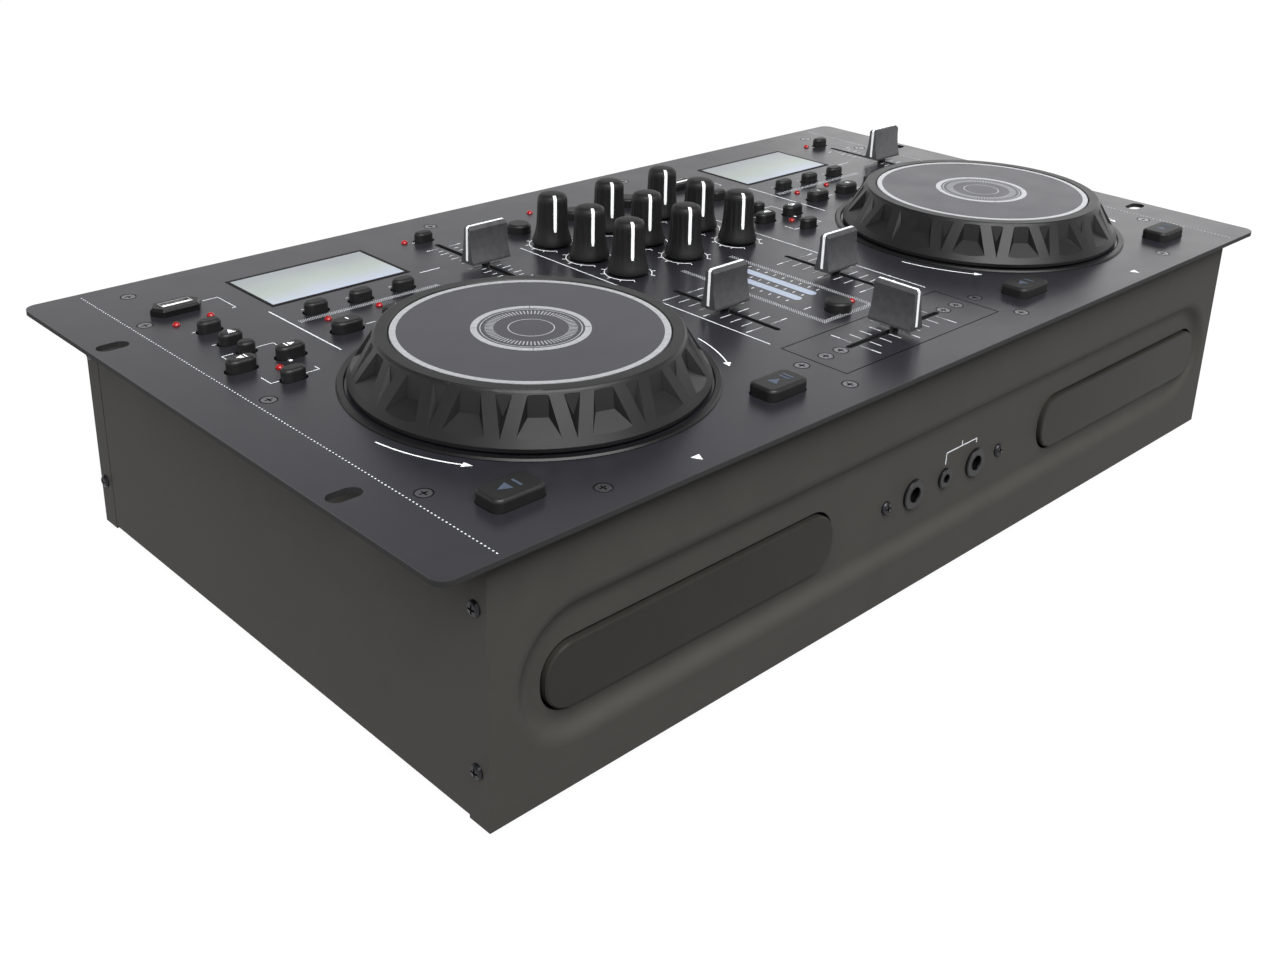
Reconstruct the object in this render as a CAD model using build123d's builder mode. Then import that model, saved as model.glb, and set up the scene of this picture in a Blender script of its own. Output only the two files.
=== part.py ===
"""Rack-format disc console: two tray-loading players with jog wheels and a mixer between them.

Frame: X to the right, Y to the back, Z up. The origin lies on the surface that the feet stand on,
under the middle of the top panel. All sizes are in millimetres.
"""

from build123d import *
from math import atan2, cos, pi, sin
import os

# ---------------------------------------------------------------- driving dimensions: case
panel_width = 482.6  # a 19-inch rack panel
panel_depth = 265.9  # six rack units
panel_thick = 2.0
panel_corner_r = 5.0
rack_slot_spacing_x = 465.1
rack_slot_spacing_y = 149.2
rack_slot_length = 12.0
rack_slot_width = 6.8
body_width = 443.3
front_overhang = 5.7
rear_overhang = 7.2
case_height = 96.2  # from the underside of the return flanges to the top face of the panel
ground_gap = 5.0  # from the surface to the underside of the return flanges
sheet = 1.2
foot_radius = 11.0
foot_inset_x = 42.0
foot_inset_y = 34.0
top_flange = 9.8
return_flange = 9.8
side_flange = 14.0
ledge_flange = 10.2  # the chassis sides' own inward flanges, which the panel's side screws reach
rear_strip = 9.4
strip_gap = 0.5

# ---------------------------------------------------------------- driving dimensions: front
channel_length = 430.6
channel_height = 53.4
channel_depth = 3.0
channel_slope = 8.5
channel_below_top = 53.4
channel_shift = 2.2
tray_front_length = 134.8
tray_front_height = 23.3
tray_front_corner = 10.4
tray_front_thick = 3.2
tray_front_gap = 1.1
tray_front_proud = 1.8
tray_below_top = 55.9
tray_spacing = 274.0
tray_shift = 5.6  # the trays and the jacks sit a little to the right of the body's middle
jack_below_top = 56.6
jack_row_x = 7.0
jack_pitch = 20.6
jack_screw_pitch = 75.2
large_jack_bore = 3.2
large_jack_ferrule = 6.1
large_jack_depth = 30.0
small_jack_bore = 1.8
small_jack_ferrule = 4.1
small_jack_depth = 15.0
ferrule_proud = 1.3

# ---------------------------------------------------------------- driving dimensions: decks
deck_spacing = 275.0
jog_x = 2.4
jog_y = -42.7
jog_count = 16  # pockets round the wheel
jog_rest_turn = 7.4  # degrees from the deck's X to the first pocket
jog_rim_radius = 63.5
jog_top_radius = 53.7
jog_height = 18.3
jog_float = 0.8
jog_wall = 3.8
jog_lip = 4.8
jog_plate_thick = 1.6
jog_plate_gap = 0.3
jog_shaft_radius = 4.0
running_gap = 0.05
bezel_outer = 67.2
bezel_inner = 64.3
bezel_height = 0.9
pocket_depth = 2.8
notch_depth = 2.0
display_length = 64.8
display_width = 36.8
display_x = 1.2
display_y = 91.6
usb_x = -61.0
usb_y = 93.2
usb_length = 21.0
usb_width = 10.2
usb_height = 3.2
usb_port_length = 12.6
usb_port_width = 4.8
pitch_x = 63.4
pitch_y = 60.3
pitch_travel = 60.0
pitch_slot = 71.4
led_radius = 1.45

# ---------------------------------------------------------------- driving dimensions: mixer
knob_pitch_x = 34.0
knob_pitch_y = 24.6
knob_row_y = 39.4  # the middle row
knob_height = 23.6
knob_float = 0.7
knob_skirt_radius = 9.2
knob_neck_radius = 6.9
knob_top_radius = 6.15
knob_flutes = 24
channel_fader_x = 34.8
channel_fader_y = -41.9
channel_fader_slot = 57.6
short_travel = 45.0
cross_y = -98.8
cross_slot = 58.0
cross_plate_length = 97.0
cross_plate_width = 31.0
cross_plate_thick = 1.0
cross_window_length = 74.0
cross_window_width = 17.0
meter_x = 2.0
meter_y = -32.4
meter_pitch = 9.2
meter_width = 4.3
meter_length = 43.0

# ---------------------------------------------------------------- driving dimensions: controls
fader_slot_width = 2.6
fader_tongue = 1.0
fader_tongue_length = 4.4
cap_height = 18.9
cap_base_gap = 2.6
cap_base_depth = 8.0
cap_base_width = 20.0
cap_top_depth = 4.3
cap_top_width = 19.6
cap_ridge = 2.0
key_travel = 1.2
key_play = 0.25  # side clearance of a key in its opening
key_end_play = 0.9
key_flange = 1.2
key_top_round = 1.3
board_drop = 14.0  # from the top face of the panel to the top of the control board
board_thick = 1.6
switch_height = 3.5
bushing_radius = 3.5
shaft_radius = 2.95
pot_width = 10.0
screw_head = 2.9
screw_shank = 1.5
screw_length = 6.0
countersink = 1.4
pan_head = 2.7
pan_height = 1.5

# ---------------------------------------------------------------- driving dimensions: disc drives
disc_radius = 60.0
disc_recess = 2.0
tray_width = 130.0
tray_length = 166.0
tray_thick = 6.0
tray_guide_gap = 0.3
tray_top_lift = 5.6  # the tray plate's top above the middle of its front
disc_from_front = 66.0
drive_width = 150.0
drive_wall = 2.0
drive_length = 184.0

# ---------------------------------------------------------------- levels and faces
panel_top = ground_gap + case_height
panel_under = panel_top - panel_thick
case_floor = ground_gap + sheet  # outside of the chassis floor
inner_floor = case_floor + sheet
body_front = -panel_depth / 2 + front_overhang
body_back = panel_depth / 2 - rear_overhang
half_body = body_width / 2
channel_floor_y = body_front + channel_depth
channel_z = panel_top - channel_below_top
tray_z = panel_top - tray_below_top
jack_z = panel_top - jack_below_top
board_top = panel_top - board_drop
deck_x = {"left": -deck_spacing / 2, "right": deck_spacing / 2}
jog_at = [(middle + jog_x, jog_y) for middle in deck_x.values()]
tray_x = {"left": tray_shift - tray_spacing / 2, "right": tray_shift + tray_spacing / 2}

os.makedirs("parts", exist_ok=True)


def save(part, label):
    """Labels a finished piece and writes it under its own name."""
    part.label = label
    export_step(part, f"parts/{label}.step")


def front_plane(y, z):
    """A plane that faces the user, with its own X to the right and its own Y upwards."""
    return Plane(origin=(0, y, z), x_dir=(1, 0, 0), z_dir=(0, -1, 0))


def rear_plane(y, z):
    """A plane that faces the back, with its own Y upwards."""
    return Plane(origin=(0, y, z), x_dir=(-1, 0, 0), z_dir=(0, 1, 0))


def side_plane(x):
    """A plane across X, with its own X along the row's Y and its own Y upwards."""
    return Plane(origin=(x, 0, 0), x_dir=(0, 1, 0), z_dir=(1, 0, 0))


# ---------------------------------------------------------------- where the small parts sit
# Each deck's keys: group, x and y from the deck's middle line and the panel's centre, length, width, height.
source_key = (9.0, 5.6, 4.6)
track_key = (11.0, 6.2, 4.8)
display_key = (9.6, 5.8, 4.6)
loop_key = (12.4, 7.6, 4.6)
pitch_key = (8.6, 5.4, 4.4)
large_key = (19.6, 12.2, 4.4)
large_key_corner = 3.0
source_x = -61.5
loop_y = 34.8
display_key_y = 58.6
deck_keys = {
    "source_keys": [(source_x, 66.4, source_key), (source_x, 50.8, source_key), (source_x, 8.0, source_key)],
    "track_keys": [(-71.0, 26.4, track_key), (-51.5, 26.4, track_key), (source_x, 39.4, (6.4, 5.2, 4.6))],
    "display_keys": [(-20.8, display_key_y, display_key), (-0.5, display_key_y, display_key),
                     (19.8, display_key_y, display_key)],
    "loop_keys": [(-22.3, loop_y, loop_key), (0.3, loop_y, loop_key), (22.9, loop_y, loop_key)],
    "pitch_key": [(62.2, 103.4, pitch_key)],
    "cue_key": [(-59.8, -107.8, large_key)],
    "play_key": [(58.6, -108.2, large_key)],
}
deck_leds = [(-53.6, 80.0), (-68.2, 79.0), (-60.2, 19.3), (-21.9, 48.4), (1.2, 48.4), (53.8, 106.0)]
mixer_round_key = 5.4  # radius
mixer_key_height = 4.2
mixer_keys = [(0.2, -71.0), (-knob_pitch_x, 87.2), (0.0, 87.2), (knob_pitch_x, 87.2)]
mixer_leds = [(11.8, -68.6), (-12.0, 106.0)]
knob_names = {
    "left_high_knob": (-1, 1), "left_mid_knob": (-1, 0), "left_low_knob": (-1, -1),
    "mic_level_knob": (0, 1), "master_level_knob": (0, 0), "phones_level_knob": (0, -1),
    "right_high_knob": (1, 1), "right_mid_knob": (1, 0), "right_low_knob": (1, -1),
}
panel_screw_x = half_body - 7.15
edge_screw_y = panel_depth / 2 - 14.4
front_screw_y = -panel_depth / 2 + 12.1
panel_screws_at = [
    (side * x, y)
    for side in (-1, 1)
    for x, y in [(panel_screw_x, 86.2), (panel_screw_x, -1.9), (panel_screw_x, -88.8), (205.5, edge_screw_y),
                 (60.5, edge_screw_y), (172.5, front_screw_y), (55.0, front_screw_y), (55.0, cross_y)]
]
plate_screws_at = [(side * x, cross_y) for side in (-1, 1) for x in (32.7, 41.4)]
side_front_y = body_front + 5.5
side_rear_y = body_back - rear_strip + 5.3
side_screw_levels = [panel_top - 20.6, panel_top - 76.6]
rear_tab_z = ground_gap + 11.0
rear_tab_width = 12.0
rear_screws_at = [(x, rear_tab_z) for x in (-205.0, -70.0, 70.0, 205.0)]
# Every fader: x, y, slot length, travel, and True where it runs along X.
faders = {
    "left_pitch_fader": (deck_x["left"] + pitch_x, pitch_y, pitch_slot, pitch_travel, False),
    "right_pitch_fader": (deck_x["right"] + pitch_x, pitch_y, pitch_slot, pitch_travel, False),
    "left_channel_fader": (-channel_fader_x, channel_fader_y, channel_fader_slot, short_travel, False),
    "right_channel_fader": (channel_fader_x, channel_fader_y, channel_fader_slot, short_travel, False),
    "crossfader": (0.0, cross_y, cross_slot, short_travel, True),
}
knob_places = {
    name: (column * knob_pitch_x, knob_row_y + row * knob_pitch_y)
    for name, (column, row) in knob_names.items()
}
led_places = [(deck_x[side] + x, y) for side in deck_x for x, y in deck_leds] + mixer_leds
key_places = [
    (deck_x[side] + x, y, shape) for side in deck_x for group in deck_keys.values() for x, y, shape in group
]


# ---------------------------------------------------------------- top panel
def top_panel():
    """The rack panel: one plate with rounded corners, ear slots and an opening for every control."""
    with BuildPart() as panel:
        with BuildSketch(Plane.XY.offset(panel_under)):
            RectangleRounded(panel_width, panel_depth, panel_corner_r)
            with GridLocations(rack_slot_spacing_x, rack_slot_spacing_y, 2, 2):
                SlotOverall(rack_slot_length, rack_slot_width, mode=Mode.SUBTRACT)
            for middle in deck_x.values():
                with Locations((middle + jog_x, jog_y)):
                    Circle(2 * jog_shaft_radius + running_gap, mode=Mode.SUBTRACT)
                with Locations((middle + display_x, display_y)):
                    Rectangle(display_length + 0.2, display_width + 0.2, mode=Mode.SUBTRACT)
                with Locations((middle + usb_x, usb_y)):
                    Rectangle(usb_port_length + 1.4, usb_port_width + 1.4, mode=Mode.SUBTRACT)
            for x, y, (length, width, _) in key_places:
                with Locations((x, y)):
                    if width > 10:
                        RectangleRounded(
                            length + 2 * key_play, width + 2 * key_play,
                            large_key_corner + key_play, mode=Mode.SUBTRACT
                        )
                    else:
                        SlotOverall(length + 2 * key_end_play, width + 2 * key_play, mode=Mode.SUBTRACT)
            with Locations(*mixer_keys):
                Circle(mixer_round_key + key_play, mode=Mode.SUBTRACT)
            with Locations(*led_places):
                Circle(led_radius + 0.1, mode=Mode.SUBTRACT)
            with Locations(*knob_places.values()):
                Circle(bushing_radius + 0.1, mode=Mode.SUBTRACT)
            with Locations((meter_x - meter_pitch / 2, meter_y), (meter_x + meter_pitch / 2, meter_y)):
                SlotOverall(meter_length + 0.2, meter_width + 0.2, rotation=90, mode=Mode.SUBTRACT)
            for name, (x, y, slot, _, along_x) in faders.items():
                if name != "crossfader":
                    with Locations((x, y)):
                        SlotOverall(slot, fader_slot_width, rotation=90, mode=Mode.SUBTRACT)
            with Locations((0, cross_y)):
                Rectangle(cross_window_length, cross_window_width, mode=Mode.SUBTRACT)
            with Locations(*plate_screws_at[1::2]):
                Circle(screw_shank + 0.1, mode=Mode.SUBTRACT)
        extrude(amount=panel_thick)
        with BuildSketch(Plane.XY.offset(panel_top)):
            with Locations((0, cross_y)):
                RectangleRounded(cross_plate_length + 0.5, cross_plate_width + 0.5, 1.0)
        extrude(amount=-cross_plate_thick, mode=Mode.SUBTRACT)
        with Locations(*[(x, y, panel_top) for x, y in panel_screws_at]):
            CounterSinkHole(screw_shank + 0.1, screw_head + 0.1, depth=panel_thick + 1)
    return panel.part


save(top_panel(), "top_panel")


def crossfader_plate():
    """The small inset plate that carries the crossfader, so that it can be changed as one unit."""
    with BuildPart() as plate:
        with BuildSketch(Plane.XY.offset(panel_top - cross_plate_thick)):
            with Locations((0, cross_y)):
                RectangleRounded(cross_plate_length, cross_plate_width, 0.8)
                SlotOverall(cross_slot, fader_slot_width, mode=Mode.SUBTRACT)
            with Locations(*plate_screws_at):
                Circle(screw_shank + 0.1, mode=Mode.SUBTRACT)
        extrude(amount=cross_plate_thick)
    return plate.part


save(crossfader_plate(), "crossfader_plate")


# ---------------------------------------------------------------- formed front panel
def front_panel():
    """One pressed sheet: a dished channel with round ends, its wall an S of two arcs, and folded flanges.

    The wall's section is swept once round the channel's stadium outline, and meets the face and the floor
    of the channel at full thickness.
    """
    face = front_plane(body_front, channel_z)
    round_end = channel_height / 2
    straight = channel_length / 2 - round_end
    inner_length = channel_length - 2 * channel_slope
    inner_height = channel_height - 2 * channel_slope
    face_low = ground_gap - channel_z
    face_high = panel_under - channel_z
    with BuildPart() as front:
        with BuildSketch(face):
            with Locations((0, (face_low + face_high) / 2)):
                Rectangle(body_width, face_high - face_low)
            with Locations((channel_shift, 0)):
                SlotOverall(channel_length, channel_height, mode=Mode.SUBTRACT)
        extrude(amount=-sheet)
        with BuildSketch(face.offset(-channel_depth)):
            with Locations((channel_shift, 0)):
                SlotOverall(inner_length, inner_height)
            with Locations((jack_row_x, jack_z - channel_z)):
                with Locations((-jack_pitch, 0), (jack_pitch, 0)):
                    Circle(large_jack_ferrule - 1.2, mode=Mode.SUBTRACT)
                Circle(small_jack_ferrule - 0.6, mode=Mode.SUBTRACT)
                with Locations((-jack_screw_pitch / 2, 0), (jack_screw_pitch / 2, 0)):
                    Circle(screw_shank + 0.1, mode=Mode.SUBTRACT)
        extrude(amount=-sheet)
        with BuildLine(face) as rim:
            Line((channel_shift, round_end), (channel_shift + straight, round_end))
            CenterArc((channel_shift + straight, 0), round_end, 90, -180)
            Line((channel_shift + straight, -round_end), (channel_shift - straight, -round_end))
            CenterArc((channel_shift - straight, 0), round_end, 270, -180)
            Line((channel_shift - straight, round_end), (channel_shift, round_end))
        section = Plane(
            origin=(channel_shift, body_front, channel_z + round_end), x_dir=(0, 1, 0), z_dir=(1, 0, 0)
        )
        middle_run = channel_slope / 2
        with BuildSketch(section):
            with BuildLine():
                TangentArc((0, 0), (channel_depth / 2, -middle_run), tangent=(0, -1))
                TangentArc((channel_depth, -channel_slope), (channel_depth / 2, -middle_run), tangent=(0, 1))
                Line((channel_depth, -channel_slope), (channel_depth + sheet, -channel_slope))
                TangentArc(
                    (channel_depth + sheet, -channel_slope),
                    (channel_depth / 2 + sheet, -middle_run),
                    tangent=(0, 1),
                )
                TangentArc((sheet, 0), (channel_depth / 2 + sheet, -middle_run), tangent=(0, -1))
                Line((sheet, 0), (0, 0))
            make_face()
        sweep(path=rim.wires()[0])
        with BuildSketch(face):
            with Locations(*[(middle, tray_z - channel_z) for middle in tray_x.values()]):
                RectangleRounded(
                    tray_front_length + 2 * tray_front_gap,
                    tray_front_height + 2 * tray_front_gap,
                    tray_front_corner + tray_front_gap,
                )
        extrude(amount=-(channel_depth + 2 * sheet), mode=Mode.SUBTRACT)
        # Folded flanges: one under the panel, one under the chassis floor and one inside each side.
        under_panel = front_plane(body_front + sheet, panel_under - sheet / 2)
        with BuildSketch(under_panel):
            Rectangle(body_width - 2 * sheet - 2 * side_flange, sheet)
        extrude(amount=-(top_flange - sheet))
        with BuildSketch(front_plane(body_front + sheet, ground_gap + sheet / 2)):
            Rectangle(body_width, sheet)
        extrude(amount=-(return_flange - sheet))
        flange_x = half_body - 1.5 * sheet
        flange_height = panel_under - inner_floor - 12.0
        with BuildSketch(front_plane(body_front + sheet, (panel_under + inner_floor) / 2)):
            with Locations((-flange_x, 0), (flange_x, 0)):
                Rectangle(sheet, flange_height)
        extrude(amount=-(side_flange - sheet))
        with Locations(*[(x, y, panel_under) for x, y in panel_screws_at if abs(y - front_screw_y) < 0.1]):
            Hole(screw_shank + 0.1, depth=sheet + 0.1)
        for side in (-1, 1):
            with BuildSketch(side_plane(side * (half_body - sheet))):
                with Locations(*[(side_front_y, z) for z in side_screw_levels]):
                    Circle(screw_shank + 0.1)
            extrude(amount=-side * (sheet + 0.1), mode=Mode.SUBTRACT)
    return front.part


save(front_panel(), "front_panel")


# ---------------------------------------------------------------- chassis, rear panel and feet
side_back = body_back - rear_strip - strip_gap
tab_depth = 10.0
rear_inside = body_back - sheet


def chassis_shell():
    """Floor and sides in one folded sheet, open at the front, back and top, with inward flanges."""
    height = panel_under - case_floor
    tab_x = half_body - 1.5 * sheet
    with BuildPart() as shell:
        with BuildSketch(front_plane(body_front + sheet, case_floor)):
            with Locations((0, height / 2)):
                Rectangle(body_width, height)
                Rectangle(body_width - 2 * sheet, height - 2 * sheet, mode=Mode.SUBTRACT)
            with Locations((0, height - sheet / 2)):
                Rectangle(body_width - 2 * ledge_flange, 3 * sheet, mode=Mode.SUBTRACT)
        extrude(amount=-(side_back - body_front - sheet))
        with BuildSketch(front_plane(side_back, case_floor + sheet / 2)):
            Rectangle(body_width - 4 * sheet, sheet)
        extrude(amount=-(rear_inside - side_back))
        with BuildSketch(front_plane(side_back - tab_depth, (panel_under + inner_floor) / 2)):
            with Locations((-tab_x, 0), (tab_x, 0)):
                Rectangle(sheet, panel_under - inner_floor - 14.0)
        extrude(amount=-(rear_inside - side_back + tab_depth))
        # The top flanges stop short of the front panel's and the rear panel's own flanges.
        with BuildSketch(front_plane(body_front + sheet, panel_under - sheet / 2)):
            Rectangle(body_width - 2 * sheet, sheet)
        extrude(amount=-side_flange, mode=Mode.SUBTRACT)
        # A notch in the left flange, under the outermost key, and upright tabs behind the rear panel.
        notch_x, notch_y, (notch_length, notch_width, _) = deck_keys["track_keys"][0]
        with BuildSketch(Plane.XY.offset(panel_under)):
            with Locations((deck_x["left"] + notch_x, notch_y)):
                Rectangle(notch_length + 6 * key_end_play, notch_width + 4.0)
        extrude(amount=-sheet, mode=Mode.SUBTRACT)
        with BuildSketch(front_plane(rear_inside - sheet, rear_tab_z)):
            with Locations(*[(x, 0) for x, z in rear_screws_at]):
                Rectangle(rear_tab_width, 2 * (rear_tab_z - case_floor))
                Circle(screw_shank + 0.1, mode=Mode.SUBTRACT)
        extrude(amount=-sheet)
        with Locations(*[(x, y, panel_under) for x, y in panel_screws_at if abs(x) > panel_screw_x - 0.1]):
            Hole(screw_shank + 0.1, depth=sheet + 0.1)
        for side in (-1, 1):
            with BuildSketch(side_plane(side * (half_body + 0.1))):
                with Locations(*[(side_front_y, z) for z in side_screw_levels]):
                    Circle(screw_shank + 0.1)
                with Locations(*[(side_rear_y, z) for z in side_screw_levels]):
                    Circle(screw_shank + 0.1)
            extrude(amount=-side * (2 * sheet + 0.2), mode=Mode.SUBTRACT)
    return shell.part


save(chassis_shell(), "chassis_shell")

inlet_x = -172.0
inlet_z = ground_gap + 40.0
inlet_length = 27.6
inlet_height = 20.0
switch_x = inlet_x + 42.0
switch_length = 13.0
rocker_height = 19.4
phono_radius = 4.15
phono_pitch_z = 16.0
phono_low_z = ground_gap + 34.0
phono_columns = [-60.0, -42.0, -24.0, 20.0, 38.0, 56.0]
phono_places = [(x, phono_low_z + row * phono_pitch_z) for x in phono_columns for row in (0, 1)]


def rear_panel():
    """Back plate with the sockets' openings; its side strips wrap round and close the sides flush."""
    height = panel_under - ground_gap
    middle_z = (panel_under + ground_gap) / 2
    with BuildPart() as rear:
        with BuildSketch(rear_plane(rear_inside, middle_z)):
            Rectangle(body_width, height)
            with Locations((-inlet_x, inlet_z - middle_z)):
                Rectangle(inlet_length, inlet_height, mode=Mode.SUBTRACT)
            with Locations((-switch_x, inlet_z - middle_z)):
                Rectangle(switch_length, rocker_height, mode=Mode.SUBTRACT)
            with Locations(*[(-x, z - middle_z) for x, z in phono_places]):
                Circle(phono_radius + 0.2, mode=Mode.SUBTRACT)
            with Locations(*[(-x, z - middle_z) for x, z in rear_screws_at]):
                Circle(screw_shank + 0.1, mode=Mode.SUBTRACT)
        extrude(amount=sheet)
        with BuildSketch(front_plane(rear_inside, middle_z)):
            with Locations((-(half_body - sheet / 2), 0), (half_body - sheet / 2, 0)):
                Rectangle(sheet, height)
            with Locations((0, -height / 2 + sheet / 2)):
                Rectangle(body_width, sheet)
        extrude(amount=rear_strip - sheet)
        with BuildSketch(front_plane(rear_inside, panel_under - sheet / 2)):
            Rectangle(body_width - 2 * sheet, sheet)
        extrude(amount=rear_strip - sheet)
        with BuildSketch(front_plane(rear_inside, panel_under - sheet / 2)):
            Rectangle(body_width - 4 * side_flange, sheet)
        extrude(amount=top_flange)
        with Locations(*[(x, y, panel_under) for x, y in panel_screws_at if abs(y - edge_screw_y) < 0.1]):
            Hole(screw_shank + 0.1, depth=sheet + 0.1)
        for side in (-1, 1):
            with BuildSketch(side_plane(side * (half_body + 0.1))):
                with Locations(*[(side_rear_y, z) for z in side_screw_levels]):
                    Circle(screw_shank + 0.1)
            extrude(amount=-side * (sheet + 0.2), mode=Mode.SUBTRACT)
    return rear.part


save(rear_panel(), "rear_panel")


def rubber_feet():
    """Four round feet under the chassis floor, each drafted and relieved round its screw."""
    draft = 0.86
    places = [
        (sx * (half_body - foot_inset_x), sy * (panel_depth / 2 - foot_inset_y))
        for sx in (-1, 1) for sy in (-1, 1)
    ]
    with BuildPart() as foot:
        with BuildSketch(Plane.XZ):
            with BuildLine():
                Polyline(
                    (3.2, 2.0), (5.0, 0), (foot_radius * draft, 0), (foot_radius, 1.4),
                    (foot_radius, case_floor),
                    (0, case_floor), (0, 2.0), (3.2, 2.0)
                )
            make_face()
        revolve(axis=Axis.Z)
    with BuildPart() as feet:
        with Locations(*places):
            add(foot.part)
    return feet.part


save(rubber_feet(), "rubber_feet")


# ---------------------------------------------------------------- screws
def countersunk_screw():
    """A flat-headed screw with its head's top at the origin, pointing down."""
    with BuildPart() as screw:
        with BuildSketch(Plane.XZ):
            with BuildLine():
                Polyline(
                    (0, 0), (screw_head, 0), (screw_head - 0.1, -0.2), (screw_shank, -countersink),
                    (screw_shank, -screw_length), (0, -screw_length), (0, 0)
                )
            make_face()
        revolve(axis=Axis.Z)
    return screw.part


def pan_screw(length):
    """A domed screw whose head stands above the origin, pointing down."""
    with BuildPart() as screw:
        with BuildSketch(Plane.XZ):
            with BuildLine():
                Line((0, pan_height), (1.0, pan_height))
                ThreePointArc((1.0, pan_height), (2.2, 0.95 * pan_height - 0.2), (pan_head, 0))
                Polyline(
                    (pan_head, 0), (screw_shank, 0), (screw_shank, -length), (0, -length), (0, pan_height)
                )
            make_face()
        revolve(axis=Axis.Z)
    return screw.part


def panel_screws():
    """Screws of the top panel and of the crossfader plate, all with flat heads flush with the surface."""
    screw = countersunk_screw()
    with BuildPart() as screws:
        with Locations(*[(x, y, panel_top) for x, y in panel_screws_at]):
            add(screw)
    return screws.part


save(panel_screws(), "panel_screws")


def case_screws():
    """Domed screws in the sides, the back, the front's jack row and the crossfader plate."""
    screw = pan_screw(4.0)
    short_screw = pan_screw(3.0)
    with BuildPart() as screws:
        for x, y in plate_screws_at:
            add(short_screw.located(Location((x, y, panel_top))))
        for side in (-1, 1):
            turn = Plane(origin=(side * half_body, 0, 0), x_dir=(0, 1, 0), z_dir=(side, 0, 0))
            for y in (side_front_y, side_rear_y):
                for z in side_screw_levels:
                    seat = Plane(origin=(side * half_body, y, z), x_dir=turn.x_dir, z_dir=turn.z_dir)
                    add(screw.located(Location(seat)))
        for x, z in rear_screws_at:
            add(screw.located(Location(Plane(origin=(x, body_back, z), x_dir=(-1, 0, 0), z_dir=(0, 1, 0)))))
        for x in (jack_row_x - jack_screw_pitch / 2, jack_row_x + jack_screw_pitch / 2):
            seat = Plane(origin=(x, channel_floor_y, jack_z), x_dir=(1, 0, 0), z_dir=(0, -1, 0))
            add(screw.located(Location(seat)))
    return screws.part


save(case_screws(), "case_screws")


# ---------------------------------------------------------------- jog wheels
cone_low = (jog_rim_radius, 2.6)
cone_high = (jog_top_radius + 0.5, jog_height - 0.8)
plate_radius = jog_top_radius - jog_lip
plate_seat = jog_height - 0.25 - jog_plate_thick
pocket_low, pocket_high = 4.9, jog_height - 1.2
pocket_ledge = 0.52  # where the deepest edge lies, as a share of the way up the pocket
band = 4.6  # between a pocket and a notch
notch_top = 5.5


def cone_radius(z):
    """The radius of the wheel's side at a height."""
    share = (z - cone_low[1]) / (cone_high[1] - cone_low[1])
    return cone_low[0] + share * (cone_high[0] - cone_low[0])


def pocket_cutter(top_width, ledge_width, low_width, depth):
    """A faceted pocket on the X side: a sinking floor, a ledge under it and two slanted cheeks."""
    fall = atan2(cone_low[0] - cone_high[0], cone_high[1] - cone_low[1])
    ledge_z = pocket_low + pocket_ledge * (pocket_high - pocket_low)
    top = Vector(cone_radius(pocket_high), 0, pocket_high)
    low = Vector(cone_radius(pocket_low), 0, pocket_low)
    deep = Vector(cone_radius(ledge_z), 0, ledge_z) - Vector(cos(fall), 0, sin(fall)) * depth
    with BuildPart() as cutter:
        with BuildSketch(Plane.XZ):
            with BuildLine():
                above, below = top + (top - deep) * 0.5, low + (low - deep) * 0.5
                Polyline((deep.X, deep.Z), (below.X, below.Z), (above.X, above.Z), close=True)
            make_face()
        extrude(amount=low_width + top_width, both=True)
        for side in (-1, 1):
            corner = deep + Vector(0, side * ledge_width / 2, 0)
            up = top + Vector(0, side * top_width / 2, 0) - corner
            down = low + Vector(0, side * low_width / 2, 0) - corner
            split(bisect_by=Plane(origin=corner, z_dir=up.cross(down) * side), keep=Keep.BOTTOM)
    return cutter.part


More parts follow.
